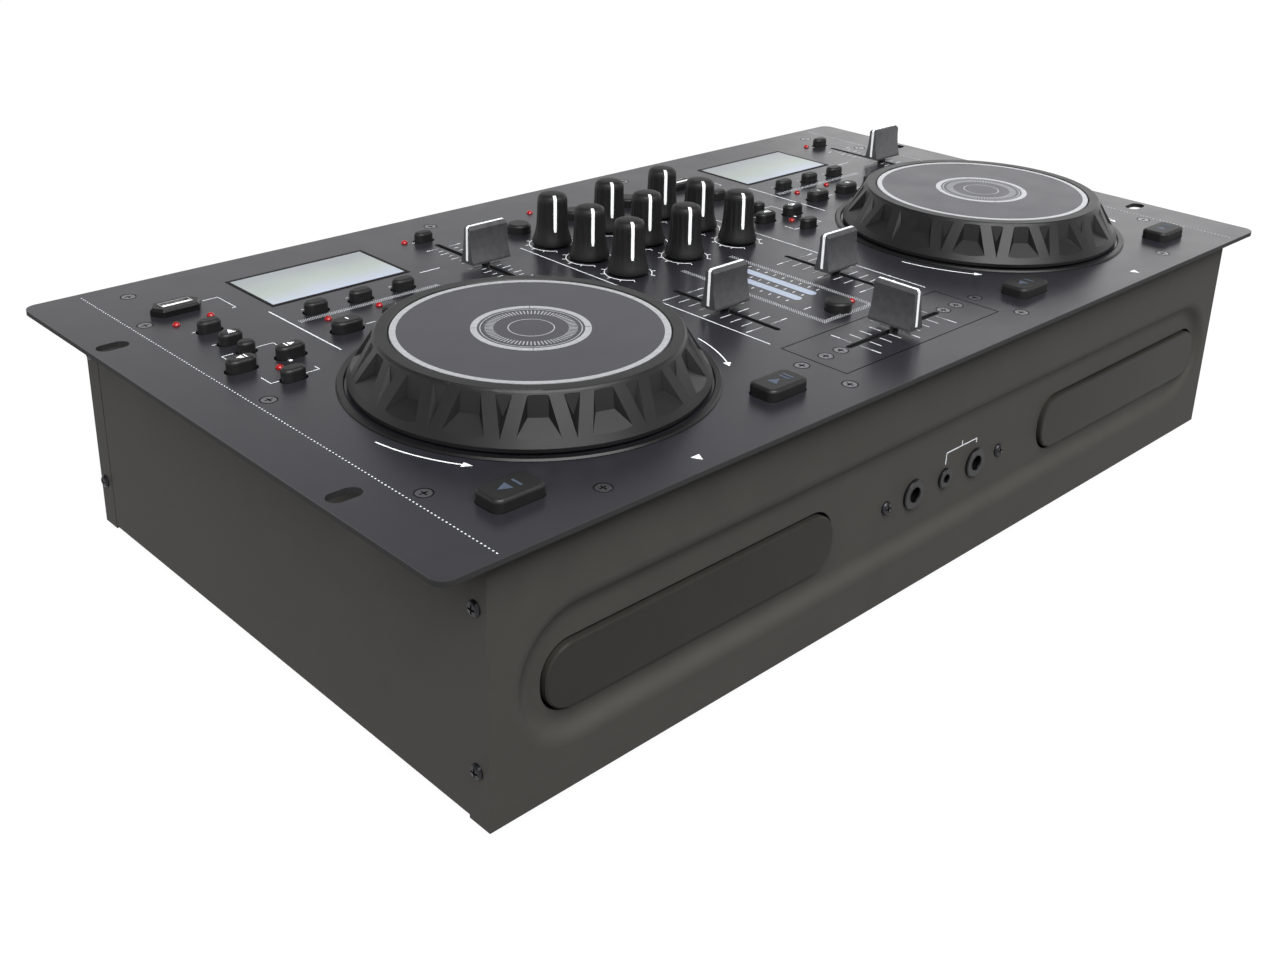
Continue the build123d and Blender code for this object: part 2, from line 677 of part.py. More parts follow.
def jog_wheel():
    """The conical wheel: a hollow moulding with pockets and notches round its side, a hub and its shaft."""
    inner_low = jog_rim_radius - jog_wall
    web_low = plate_seat - 2.0
    hub_radius = 9.0
    top_band = 2 * pi * cone_radius(pocket_high) / jog_count
    low_band = 2 * pi * cone_radius(pocket_low) / jog_count
    pocket_top = top_band - 2 * band - notch_top
    pocket = pocket_cutter(pocket_top, pocket_top, low_band - 2 * band, pocket_depth)
    notch = pocket_cutter(notch_top, 0, 0, notch_depth)
    with BuildPart() as wheel:
        with BuildSketch(Plane.XZ):
            with BuildLine():
                Line((0, -board_drop - 1.0), (jog_shaft_radius, -board_drop - 1.0))
                Line((jog_shaft_radius, -board_drop - 1.0), (jog_shaft_radius, 1.8 + running_gap))
                Line((jog_shaft_radius, 1.8 + running_gap), (hub_radius, 1.8 + running_gap))
                Line((hub_radius, 1.8 + running_gap), (hub_radius, web_low))
                Line((hub_radius, web_low), (cone_high[0] - jog_wall - 1.2, web_low))
                Line((cone_high[0] - jog_wall - 1.2, web_low), (inner_low, jog_float))
                Line((inner_low, jog_float), (jog_rim_radius - 0.5, jog_float))
                Line((jog_rim_radius - 0.5, jog_float), (jog_rim_radius, jog_float + 0.5))
                Line((jog_rim_radius, jog_float + 0.5), cone_low)
                Line(cone_low, cone_high)
                shoulder = Line(cone_low, cone_high, mode=Mode.PRIVATE)
                TangentArc(cone_high, (jog_top_radius - 0.4, jog_height), tangent=shoulder % 1)
                Line((jog_top_radius - 0.4, jog_height), (plate_radius + 0.5, jog_height))
                Line((plate_radius + 0.5, jog_height), (plate_radius + jog_plate_gap / 2, jog_height - 0.5))
                Line(
                    (plate_radius + jog_plate_gap / 2, jog_height - 0.5),
                    (plate_radius + jog_plate_gap / 2, plate_seat)
                )
                Line((plate_radius + jog_plate_gap / 2, plate_seat), (0, plate_seat))
                Line((0, plate_seat), (0, -board_drop - 1.0))
            make_face()
        revolve(axis=Axis.Z)
        with PolarLocations(0, jog_count):
            add(pocket, mode=Mode.SUBTRACT)
        with PolarLocations(0, jog_count, start_angle=180 / jog_count):
            add(notch, mode=Mode.SUBTRACT)
    return wheel.part


def jog_plate():
    """The flat touch disc that fills the top of a wheel, with a soft edge."""
    with BuildPart() as plate:
        with BuildSketch(Plane.XZ):
            with BuildLine():
                Polyline(
                    (0, plate_seat), (plate_radius, plate_seat),
                    (plate_radius, plate_seat + jog_plate_thick - 0.3),
                    (plate_radius - 0.3, plate_seat + jog_plate_thick),
                    (0, plate_seat + jog_plate_thick), (0, plate_seat)
                )
            make_face()
        revolve(axis=Axis.Z)
    return plate.part


wheel_shape = jog_wheel()
plate_shape = jog_plate()
for side, middle in deck_x.items():
    seat = Location((middle + jog_x, jog_y, panel_top), (0, 0, jog_rest_turn))
    save(wheel_shape.moved(seat), f"{side}_jog_wheel")
    save(plate_shape.moved(seat), f"{side}_jog_plate")


def jog_bearings():
    """A flanged bush for each wheel's shaft; its flange rests on the panel."""
    with BuildPart() as bush:
        with BuildSketch(Plane.XZ):
            with BuildLine():
                inner = jog_shaft_radius + running_gap
                Polyline(
                    (inner, -board_drop), (2 * jog_shaft_radius, -board_drop),
                    (2 * jog_shaft_radius, 0), (14.0, 0),
                    (14.0, 1.0), (12.0, 1.8), (inner, 1.8), (inner, -board_drop)
                )
            make_face()
        revolve(axis=Axis.Z)
    with BuildPart() as bearings:
        with Locations(*[(x, y, panel_top) for x, y in jog_at]):
            add(bush.part)
    return bearings.part


save(jog_bearings(), "jog_bearings")


def jog_bezels():
    """The thin ring round each wheel, lying on the panel, highest at its inner edge."""
    with BuildPart() as ring:
        with BuildSketch(Plane.XZ):
            with BuildLine():
                Polyline(
                    (bezel_inner, 0), (bezel_outer, 0), (bezel_outer, 0.3),
                    (bezel_outer - 0.6, bezel_height),
                    (bezel_inner + 0.4, bezel_height), (bezel_inner, bezel_height - 0.3), (bezel_inner, 0)
                )
            make_face()
        revolve(axis=Axis.Z)
    with BuildPart() as bezels:
        with Locations(*[(x, y, panel_top) for x, y in jog_at]):
            add(ring.part)
    return bezels.part


save(jog_bezels(), "jog_bezels")


# ---------------------------------------------------------------- rotary knobs and their controls
pot_body_top = board_top + 8.0
bushing_top = panel_top + 0.3
shaft_bottom = bushing_top - 9.0
knob_bore_top = knob_height - 6.0


def rotary_knob():
    """A tall fluted knob with a flared skirt, and the control's shaft that fills its bore, as two solids."""
    neck_z = 9.2
    crown_z = knob_height - 2.4
    flute = 0.34
    overlap = 0.4  # how far the fluted part reaches into the skirt and the crown into the fluted part
    outline = []
    for step in range(2 * knob_flutes):
        reach = knob_neck_radius - (step % 2) * flute
        outline.append((reach * cos(pi * step / knob_flutes), reach * sin(pi * step / knob_flutes)))
    with BuildPart() as knob:
        with BuildSketch(Plane.XZ):
            with BuildLine():
                Line((0, knob_float), (knob_skirt_radius - 0.9, knob_float))
                Line((knob_skirt_radius - 0.9, knob_float), (knob_skirt_radius - 0.1, knob_float + 0.9))
                Line((knob_skirt_radius - 0.1, knob_float + 0.9), (knob_skirt_radius, knob_float + 2.4))
                ThreePointArc(
                    (knob_skirt_radius, knob_float + 2.4),
                    (knob_neck_radius + 0.85, 5.3),
                    (knob_neck_radius + 0.08, neck_z),
                )
                Line((knob_neck_radius + 0.08, neck_z), (knob_top_radius - 1.5, neck_z))
                Line((knob_top_radius - 1.5, neck_z), (knob_top_radius - 1.5, crown_z - overlap))
                Line(
                    (knob_top_radius - 1.5, crown_z - overlap), (knob_top_radius - flute, crown_z - overlap)
                )
                TangentArc((0, knob_height), (knob_top_radius - flute, crown_z - overlap), tangent=(1, 0))
                Line((0, knob_height), (0, knob_float))
            make_face()
        revolve(axis=Axis.Z)
        with BuildSketch(Plane.XY.offset(neck_z - overlap)):
            with BuildLine():
                Polyline(*outline, close=True)
            make_face()
        with BuildSketch(Plane.XY.offset(crown_z)):
            with BuildLine():
                scale_top = knob_top_radius / knob_neck_radius
                Polyline(*[(x * scale_top, y * scale_top) for x, y in outline], close=True)
            make_face()
        loft(ruled=True)
        with BuildSketch(Plane.XY.offset(knob_float)):
            Circle(shaft_radius)
        extrude(amount=knob_bore_top - knob_float, mode=Mode.SUBTRACT)
    with BuildPart() as shaft:
        with BuildSketch(Plane.XY.offset(shaft_bottom - panel_top)):
            Circle(shaft_radius)
        extrude(amount=knob_bore_top - (shaft_bottom - panel_top))
    return Compound(children=[knob.part, shaft.part])


knob_shape = rotary_knob()
for name, (x, y) in knob_places.items():
    save(knob_shape.moved(Location((x, y, panel_top))), name)


def rotary_pots():
    """The nine rotary controls: a square body on the board and a bushing through the panel."""
    with BuildPart() as pots:
        with BuildSketch(Plane.XY.offset(board_top)):
            with Locations(*knob_places.values()):
                Rectangle(pot_width, pot_width)
        extrude(amount=pot_body_top - board_top)
        with BuildSketch(Plane.XY.offset(pot_body_top)):
            with Locations(*knob_places.values()):
                Circle(bushing_radius)
        extrude(amount=bushing_top - pot_body_top)
        with BuildSketch(Plane.XY.offset(shaft_bottom - 0.2)):
            with Locations(*knob_places.values()):
                Circle(shaft_radius + running_gap)
        extrude(amount=bushing_top - shaft_bottom + 0.3, mode=Mode.SUBTRACT)
    return pots.part


save(rotary_pots(), "rotary_pots")


# ---------------------------------------------------------------- faders
track_width = 12.0
channel_width = 3.0
tongue_low = board_top + 3.5


def fader_cap():
    """A blade-like cap with bevelled shoulders, on its fader's metal tongue, a second solid."""
    half_base, half_top, half_ridge = cap_base_depth / 2, cap_top_depth / 2, cap_ridge / 2
    waist = (half_top + 0.45, cap_base_gap + 7.0)
    with BuildPart() as cap:
        with BuildSketch(side_plane(-cap_base_width / 2)):
            with BuildLine():
                Line((0, cap_base_gap), (half_base, cap_base_gap))
                Line((half_base, cap_base_gap), (half_base, cap_base_gap + 0.9))
                ThreePointArc((half_base, cap_base_gap + 0.9), waist, (half_top, cap_height - 1.4))
                Line((half_top, cap_height - 1.4), (half_ridge, cap_height))
                Line((half_ridge, cap_height), (0, cap_height))
                Line((0, cap_height), (0, cap_base_gap))
            make_face()
            mirror(about=Plane.YZ)
        extrude(amount=cap_base_width)
        with BuildSketch(front_plane(-cap_base_depth, 0)):
            with BuildLine():
                Polyline(
                    (-cap_base_width / 2, cap_base_gap), (cap_base_width / 2, cap_base_gap),
                    (cap_base_width / 2, cap_base_gap + 0.9), (cap_top_width / 2, cap_height - 0.8),
                    (cap_top_width / 2 - 0.8, cap_height), (0.8 - cap_top_width / 2, cap_height),
                    (-cap_top_width / 2, cap_height - 0.8),
                    (-cap_base_width / 2, cap_base_gap + 0.9), close=True
                )
            make_face()
        extrude(amount=-2 * cap_base_depth, mode=Mode.INTERSECT)
    with BuildPart() as tongue:
        with BuildSketch(Plane.XY.offset(tongue_low - panel_top)):
            Rectangle(fader_tongue, fader_tongue_length)
        extrude(amount=cap_base_gap - (tongue_low - panel_top))
    return Compound(children=[cap.part, tongue.part])


cap_shape = fader_cap()
for name, (x, y, slot, travel, along_x) in faders.items():
    turn = 90 if along_x else 0
    save(cap_shape.moved(Location((x, y, panel_top), (0, 0, turn))), name)


def fader_tracks():
    """The five fader bodies, each a closed rail with a channel for the tongue."""
    with BuildPart() as tracks:
        for x, y, slot, travel, along_x in faders.values():
            top = panel_top - cross_plate_thick if along_x else panel_under
            turn = 0 if along_x else 90
            with BuildSketch(Plane.XY.offset(board_top)):
                with Locations(Location((x, y), turn)):
                    Rectangle(slot + (14.0 if along_x else 4.0), track_width)
            extrude(amount=top - board_top)
            with BuildSketch(Plane.XY.offset(board_top + 2.5)):
                with Locations(Location((x, y), turn)):
                    Rectangle(slot + 1.0, channel_width)
            extrude(amount=top - board_top, mode=Mode.SUBTRACT)
        with Locations(*[(x, y, panel_top - cross_plate_thick) for x, y in plate_screws_at[::2]]):
            Hole(screw_shank + 0.1, depth=5.0)
    return tracks.part


save(fader_tracks(), "fader_tracks")


# ---------------------------------------------------------------- keys
def key_shape(length, width, height, corner):
    """A pill-shaped key: a cap with a softened top, a retaining flange under the panel and a plunger."""
    low = -panel_thick - 0.05
    with BuildPart() as key:
        with BuildSketch(Plane.XY.offset(low)):
            RectangleRounded(length, width, corner)
        extrude(amount=height - low)
        fillet(key.edges().group_by(Axis.Z)[-1], key_top_round)
        with BuildSketch(Plane.XY.offset(low - key_flange)):
            Rectangle(length + 4 * key_end_play, width + 2.0)
        extrude(amount=key_flange)
        with BuildSketch(Plane.XY.offset(low - key_flange)):
            Rectangle(3.0, 3.0)
        extrude(amount=-(board_drop + low - key_flange - switch_height - key_travel - 0.1))
    return key.part


def key_corner(width):
    return width / 2 - 0.05 if width < 10 else large_key_corner


for side, middle in deck_x.items():
    for group, keys in deck_keys.items():
        key_solids = [key_shape(*size, key_corner(size[1])) for x, y, size in keys]
        with BuildPart() as key_group:
            for (x, y, size), key_solid in zip(keys, key_solids):
                with Locations((middle + x, y, panel_top)):
                    add(key_solid)
        save(key_group.part, f"{side}_{group}")


def round_keys():
    """The mixer's four round keys."""
    low = -panel_thick - 0.05
    with BuildPart() as keys:
        with BuildSketch(Plane.XY.offset(panel_top + low)):
            with Locations(*mixer_keys):
                Circle(mixer_round_key)
        extrude(amount=mixer_key_height - low)
        fillet(keys.edges().group_by(Axis.Z)[-1], key_top_round)
        with BuildSketch(Plane.XY.offset(panel_top + low - key_flange)):
            with Locations(*mixer_keys):
                Rectangle(2 * mixer_round_key + 2.0, 2 * mixer_round_key + 2.0)
        extrude(amount=key_flange)
        with BuildSketch(Plane.XY.offset(panel_top + low - key_flange)):
            with Locations(*mixer_keys):
                Rectangle(3.0, 3.0)
        extrude(amount=-(board_drop + low - key_flange - switch_height - key_travel - 0.1))
    return keys.part


save(round_keys(), "mixer_keys")


# ---------------------------------------------------------------- displays, lamps, ports
def display_windows():
    """The two clear windows, flush in the panel, each in front of its display module."""
    module_depth = 6.0
    places = [(middle + display_x, display_y) for middle in deck_x.values()]
    with BuildPart() as windows:
        with BuildSketch(Plane.XY.offset(panel_under)):
            with Locations(*places):
                Rectangle(display_length, display_width)
        extrude(amount=panel_thick + 0.2)
        chamfer(windows.edges().group_by(Axis.Z)[-1], 0.2)
        with BuildSketch(Plane.XY.offset(panel_under)):
            with Locations(*places):
                Rectangle(display_length + 8.0, display_width + 5.0)
        extrude(amount=-module_depth)
    return windows.part


save(display_windows(), "display_windows")


def indicator_leds():
    """Small round lamps: a lens with a domed end in the panel, on a spacer that stands on the board."""
    dome = 1.3
    with BuildPart() as lamp:
        with BuildSketch(Plane.XZ):
            with BuildLine():
                Polyline(
                    (0, dome), (0, -board_drop), (led_radius + 0.7, -board_drop),
                    (led_radius + 0.7, -panel_thick - 3.0), (led_radius, -panel_thick - 3.0),
                    (led_radius, 0.3)
                )
                TangentArc((0, dome), (led_radius, 0.3), tangent=(1, 0))
            make_face()
        revolve(axis=Axis.Z)
    with BuildPart() as lamps:
        with Locations(*[(x, y, panel_top) for x, y in led_places]):
            add(lamp.part)
    return lamps.part


save(indicator_leds(), "indicator_leds")


def level_meter():
    """Two light bars that shine through the panel, each on its own housing."""
    bars = [(meter_x - meter_pitch / 2, meter_y), (meter_x + meter_pitch / 2, meter_y)]
    with BuildPart() as meter:
        with BuildSketch(Plane.XY.offset(panel_under)):
            with Locations(*bars):
                SlotOverall(meter_length, meter_width, rotation=90)
        extrude(amount=panel_thick + 0.1)
        with BuildSketch(Plane.XY.offset(board_top)):
            with Locations((meter_x, meter_y)):
                Rectangle(meter_pitch + meter_width + 3.0, meter_length + 6.0)
        extrude(amount=panel_under - board_top)
    return meter.part


save(level_meter(), "level_meter")


def usb_ports():
    """A raised surround on the panel for each memory socket, with the socket's shell and tongue inside."""
    port_depth = 9.0
    tongue = 1.8
    with BuildPart() as port:
        with BuildSketch(Plane.XY) as surround:
            with BuildLine():
                half_l, half_w = usb_length / 2, usb_width / 2
                Polyline(
                    (half_l, 0), (half_l - 3.2, half_w), (3.2 - half_l, half_w), (-half_l, 0),
                    (3.2 - half_l, -half_w),
                    (half_l - 3.2, -half_w), close=True
                )
            make_face()
            fillet(surround.vertices(), 1.0)
        extrude(amount=usb_height)
        chamfer(port.edges().group_by(Axis.Z)[-1], 0.9)
        with BuildSketch(Plane.XY):
            Rectangle(usb_port_length + 1.2, usb_port_width + 1.2)
        extrude(amount=-port_depth)
        with BuildSketch(Plane.XY.offset(usb_height)):
            Rectangle(usb_port_length, usb_port_width)
        extrude(amount=-(usb_height + port_depth - 1.0), mode=Mode.SUBTRACT)
        with BuildSketch(Plane.XY.offset(-port_depth + 0.5)):
            with Locations((0, -0.7)):
                Rectangle(usb_port_length - 1.2, tongue)
        extrude(amount=port_depth + usb_height - 1.6)
    with BuildPart() as ports:
        with Locations(*[(middle + usb_x, usb_y, panel_top) for middle in deck_x.values()]):
            add(port.part)
    return ports.part


save(usb_ports(), "usb_ports")


# ---------------------------------------------------------------- boards
def control_board():
    """The board under the panel, with spacers, holes at the wheels and a switch under each key."""
    width, depth = 428.0, 236.0
    hub_clear = 20.0
    spacer_r = 3.0
    corners = [(185.0, 106.0), (176.0, -108.0), (95.0, -106.0), (22.0, 104.0)]
    spacers = [(sx * x, y) for sx in (-1, 1) for x, y in corners]
    screwed = [place for place in panel_screws_at if place[1] == cross_y]
    switches = [(x, y) for x, y, _ in key_places] + mixer_keys
    with BuildPart() as board:
        with BuildSketch(Plane.XY.offset(board_top - board_thick)):
            Rectangle(width, depth)
            with Locations(*jog_at):
                Circle(hub_clear, mode=Mode.SUBTRACT)
            with Locations(*[(middle + usb_x, usb_y) for middle in deck_x.values()]):
                Rectangle(usb_port_length + 4.0, usb_port_width + 4.0, mode=Mode.SUBTRACT)
        extrude(amount=board_thick)
        with BuildSketch(Plane.XY.offset(board_top)):
            with Locations(*spacers, *screwed):
                RegularPolygon(spacer_r, 6)
            with Locations(*screwed):
                Circle(screw_shank + 0.1, mode=Mode.SUBTRACT)
        extrude(amount=panel_under - board_top)
        with BuildSketch(Plane.XY.offset(board_top)):
            with Locations(*switches):
                Rectangle(6.0, 6.0)
        extrude(amount=switch_height)
    return board.part


save(control_board(), "control_board")

main_board_x = 0.0
main_board_y = 22.0
main_board_width = 104.0
main_board_depth = 150.0
standoff = 6.0


def main_board():
    """The processor board on the floor between the drives, with chips, cans and ribbon headers."""
    top = inner_floor + standoff + board_thick
    with BuildPart() as board:
        with BuildSketch(Plane.XY.offset(inner_floor + standoff)):
            with Locations((main_board_x, main_board_y)):
                Rectangle(main_board_width, main_board_depth)
        extrude(amount=board_thick)
        with BuildSketch(Plane.XY.offset(inner_floor)):
            with Locations((main_board_x, main_board_y)):
                with GridLocations(main_board_width - 10, main_board_depth - 10, 2, 2):
                    RegularPolygon(3.0, 6)
        extrude(amount=standoff)
        with BuildSketch(Plane.XY.offset(top)):
            with Locations((main_board_x, main_board_y)):
                with Locations((-24, -30), (22, -28)):
                    Rectangle(20, 20)
                with Locations((0, 20)):
                    Rectangle(26, 12)
        extrude(amount=2.2)
        with BuildSketch(Plane.XY.offset(top)):
            with Locations((main_board_x, main_board_y)):
                with Locations((-44, 8), (44, 8)):
                    Rectangle(6, 46)
        extrude(amount=8.0)
        with BuildSketch(Plane.XY.offset(top)):
            with Locations((main_board_x - 20, main_board_y + 46), (main_board_x, main_board_y + 46)):
                Circle(5.0)
        extrude(amount=12.0)
    return board.part


save(main_board(), "main_board")


def power_supply():
    """The supply board behind the left drive: its transformer, cans, heat sink and primary choke."""
    centre_x, centre_y = -140.0, 95.0
    width, depth = 116.0, 46.0
    top = inner_floor + standoff + board_thick
    with BuildPart() as supply:
        with BuildSketch(Plane.XY.offset(inner_floor + standoff)):
            with Locations((centre_x, centre_y)):
                Rectangle(width, depth)
        extrude(amount=board_thick)
        with BuildSketch(Plane.XY.offset(inner_floor)):
            with Locations((centre_x, centre_y)):
                with GridLocations(width - 10, depth - 10, 2, 2):
                    RegularPolygon(3.0, 6)
        extrude(amount=standoff)
        with BuildSketch(Plane.XY.offset(top)):
            with Locations((centre_x, centre_y - 2)):
                Rectangle(32, 28)
            with Locations((centre_x + 34, centre_y)):
                Rectangle(3, 40)
                with GridLocations(0, 8, 1, 5):
                    Rectangle(12, 1.6)
        extrude(amount=24.0)
        with BuildSketch(Plane.XY.offset(top)):
            with Locations((centre_x - 32, centre_y - 8), (centre_x - 32, centre_y + 12)):
                Circle(8.0)
        extrude(amount=18.0)
    return supply.part


save(power_supply(), "power_supply")


# ---------------------------------------------------------------- disc trays and drives
tray_top = tray_z + tray_top_lift
tray_low = tray_top - tray_thick
tray_front_y = channel_floor_y - tray_front_proud
tray_plate_y = tray_front_y + tray_front_thick
disc_y = tray_front_y + disc_from_front
groove_reach = 3.0
ledge_thick = 1.8
ledge_low = tray_low - tray_guide_gap - ledge_thick
drive_front_y = body_front + 12.0
drive_base_z = inner_floor + 8.0
drive_top_z = tray_top + 9.0
spindle_slot = 30.0


def disc_tray():
    """A loading tray: dished for a disc, slotted for turntable and pickup, with a rounded front."""
    with BuildPart() as tray:
        with BuildSketch(Plane.XY.offset(tray_low)):
            with Locations((0, tray_plate_y + tray_length / 2)):
                Rectangle(tray_width, tray_length)
        extrude(amount=tray_thick)
        with BuildSketch(Plane.XY.offset(tray_top)):
            with Locations((0, disc_y)):
                Circle(disc_radius + 1.0)
        extrude(amount=-disc_recess, mode=Mode.SUBTRACT)
        with BuildSketch(Plane.XY.offset(tray_top)):
            with Locations((0, disc_y)):
                Circle(41.0)
        extrude(amount=-disc_recess - 0.8, mode=Mode.SUBTRACT)
        with BuildSketch(Plane.XY.offset(tray_low)):
            with Locations((0, disc_y + 28.0)):
                SlotOverall(56.0 + spindle_slot + 6.0, spindle_slot, rotation=90)
        extrude(amount=tray_thick, mode=Mode.SUBTRACT)
        # Finger scallops at the sides of the dish, so that a disc can be lifted out.
        with BuildSketch(Plane.XY.offset(tray_top)):
            with Locations((-disc_radius, disc_y), (disc_radius, disc_y)):
                Circle(9.0)
        extrude(amount=-disc_recess - 1.6, mode=Mode.SUBTRACT)
        with BuildSketch(front_plane(tray_front_y, tray_z)):
            RectangleRounded(tray_front_length, tray_front_height, tray_front_corner)
        extrude(amount=-tray_front_thick)
        chamfer(tray.faces().sort_by(Axis.Y)[0].edges(), 0.6)
    return tray.part


tray_shape = disc_tray()
for side, middle in tray_x.items():
    save(tray_shape.moved(Location((middle, 0, 0))), f"{side}_disc_tray")


def drive_frame():
    """A drive's frame: a base on legs, two walls with guide ledges, a bridge and the disc clamp."""
    half = drive_width / 2
    base_y = drive_front_y + drive_length / 2
    wall_middle = (drive_base_z + drive_top_z) / 2
    ledge_x = (half - drive_wall + tray_width / 2 - groove_reach) / 2
    ledge_width = half - drive_wall - tray_width / 2 + groove_reach
    with BuildPart() as frame:
        with BuildSketch(Plane.XY.offset(drive_base_z)):
            with Locations((0, base_y)):
                Rectangle(drive_width, drive_length)
            with Locations((0, disc_y + 10.0)):
                RectangleRounded(60.0, 92.0, 6.0, mode=Mode.SUBTRACT)
        extrude(amount=drive_wall)
        with BuildSketch(front_plane(drive_front_y, wall_middle)):
            with Locations((-(half - drive_wall / 2), 0), (half - drive_wall / 2, 0)):
                Rectangle(drive_wall, drive_top_z - drive_base_z)
            with Locations((-ledge_x, ledge_low + ledge_thick / 2 - wall_middle),
                           (ledge_x, ledge_low + ledge_thick / 2 - wall_middle),
                           (-ledge_x, tray_top + tray_guide_gap + ledge_thick / 2 - wall_middle),
                           (ledge_x, tray_top + tray_guide_gap + ledge_thick / 2 - wall_middle)):
                Rectangle(ledge_width, ledge_thick)
        extrude(amount=-drive_length)
        with BuildSketch(Plane.XY.offset(drive_top_z - drive_wall)):
            with Locations((0, disc_y)):
                Rectangle(drive_width, 34.0)
                Circle(13.0, mode=Mode.SUBTRACT)
        extrude(amount=drive_wall)
        with BuildSketch(Plane.XY.offset(inner_floor)):
            with Locations((0, base_y)):
                with GridLocations(drive_width - 12, drive_length - 16, 2, 2):
                    Rectangle(8, 8)
        extrude(amount=drive_base_z - inner_floor)
        # The loading motor at the front corner of the base.
        with BuildSketch(Plane.XY.offset(drive_base_z + drive_wall)):
            with Locations((-half + 18.0, drive_front_y + 16.0)):
                Circle(10.0)
        extrude(amount=14.0)
        # The clamp: a puck that hangs in the bridge by its rim.
        with BuildSketch(Plane.XY.offset(drive_top_z)):
            with Locations((0, disc_y)):
                Circle(15.0)
        extrude(amount=1.4)
        with BuildSketch(Plane.XY.offset(drive_top_z)):
            with Locations((0, disc_y)):
                Circle(12.4)
        extrude(amount=-drive_wall - 2.0)
    return frame.part


def disc_traverse():
    """The reading unit: a plate with the spindle motor, its turntable, guide rods and the pickup."""
    plate_z = drive_base_z + drive_wall
    table_top = tray_low - 0.6
    with BuildPart() as traverse:
        with BuildSketch(Plane.XY.offset(plate_z)):
            with Locations((0, disc_y + 10.0)):
                Rectangle(68.0, 100.0)
                with Locations((0, 22.0)):
                    Rectangle(40.0, 44.0, mode=Mode.SUBTRACT)
        extrude(amount=1.6)
        with BuildSketch(Plane.XY.offset(plate_z + 1.6)):
            with Locations((0, disc_y)):
                Circle(12.0)
        extrude(amount=7.0)
        with BuildSketch(Plane.XY.offset(plate_z + 8.6)):
            with Locations((0, disc_y)):
                Circle(2.0)
        extrude(amount=table_top - 4.0 - plate_z - 8.6)
        with BuildSketch(Plane.XY.offset(table_top - 4.0)):
            with Locations((0, disc_y)):
                Circle(13.5)
        extrude(amount=2.0)
        with BuildSketch(Plane.XY.offset(table_top - 2.0)):
            with Locations((0, disc_y)):
                Circle(7.2)
        extrude(amount=2.0, taper=12)
        with BuildSketch(front_plane(disc_y + 10.0, plate_z + 3.1)):
            with Locations((-16.0, 0), (16.0, 0)):
                Circle(1.5)
        extrude(amount=-44.0)
        with BuildSketch(Plane.XY.offset(plate_z + 1.0)):
            with Locations((0, disc_y + 32.0)):
                Rectangle(38.0, 20.0)
        extrude(amount=7.0)
        with BuildSketch(Plane.XY.offset(plate_z + 8.0)):
            with Locations((0, disc_y + 30.0)):
                Circle(4.0)
        extrude(amount=3.0)
    return traverse.part


frame_shape = drive_frame()
traverse_shape = disc_traverse()


def both_drives(shape):
    with BuildPart() as pair:
        with Locations(*[(middle, 0, 0) for middle in tray_x.values()]):
            add(shape)
    return pair.part


save(both_drives(frame_shape), "drive_frames")
save(both_drives(traverse_shape), "disc_traverses")


# ---------------------------------------------------------------- sockets
def jack_solid(bore, ferrule, depth):
    """A round jack from its mouth: a ferrule outside, a barrel and a body behind, open to its end."""
    collar = ferrule - (1.2 if ferrule > 5 else 0.6)
    with BuildPart() as jack:
        with BuildSketch(Plane.XY):
            Circle(ferrule)
        extrude(amount=ferrule_proud)
        chamfer(jack.edges().group_by(Axis.Z)[-1], 0.4)
        with BuildSketch(Plane.XY):
            Circle(collar - 0.1)
        extrude(amount=-sheet)
        with BuildSketch(Plane.XY.offset(-sheet)):
            Rectangle(2 * ferrule + 1.6, 2 * ferrule + 1.6)
        extrude(amount=-(depth - sheet))
        with BuildSketch(Plane.XY.offset(ferrule_proud)):
            Circle(bore)
        extrude(amount=-depth, mode=Mode.SUBTRACT)
    return jack.part


def front_jacks():
    """Microphone, line and headphone jacks in the channel of the front panel."""
    large_jack = jack_solid(large_jack_bore, large_jack_ferrule, large_jack_depth)
    small_jack = jack_solid(small_jack_bore, small_jack_ferrule, small_jack_depth)
    with BuildPart() as jacks:
        for step, jack in ((-1, large_jack), (0, small_jack), (1, large_jack)):
            mouth = Plane(
                origin=(jack_row_x + step * jack_pitch, channel_floor_y, jack_z),
                x_dir=(1, 0, 0), z_dir=(0, -1, 0)
            )
            add(jack.located(Location(mouth)))
    return jacks.part


save(front_jacks(), "front_jacks")


def rear_sockets():
    """Twelve phono sockets in two rows: a barrel outside and a block behind for each column."""
    barrel = rear_overhang - 0.4
    with BuildPart() as sockets:
        with BuildSketch(rear_plane(body_back, 0)):
            with Locations(*[(-x, z) for x, z in phono_places]):
                Circle(phono_radius)
        extrude(amount=barrel)
        with BuildSketch(rear_plane(rear_inside, 0)):
            with Locations(*[(-x, z) for x, z in phono_places]):
                Circle(phono_radius)
        extrude(amount=sheet)
        with BuildSketch(rear_plane(rear_inside, 0)):
            with Locations(*[(-x, phono_low_z + phono_pitch_z / 2) for x in phono_columns]):
                Rectangle(14.0, phono_pitch_z + 14.0)
        extrude(amount=-12.0)
        with BuildSketch(rear_plane(body_back + barrel, 0)):
            with Locations(*[(-x, z) for x, z in phono_places]):
                Circle(1.6)
        extrude(amount=-8.0, mode=Mode.SUBTRACT)
    return sockets.part


save(rear_sockets(), "rear_sockets")

inlet_depth = 16.0
inlet_cavity_length = 24.4
inlet_cavity_height = 16.6


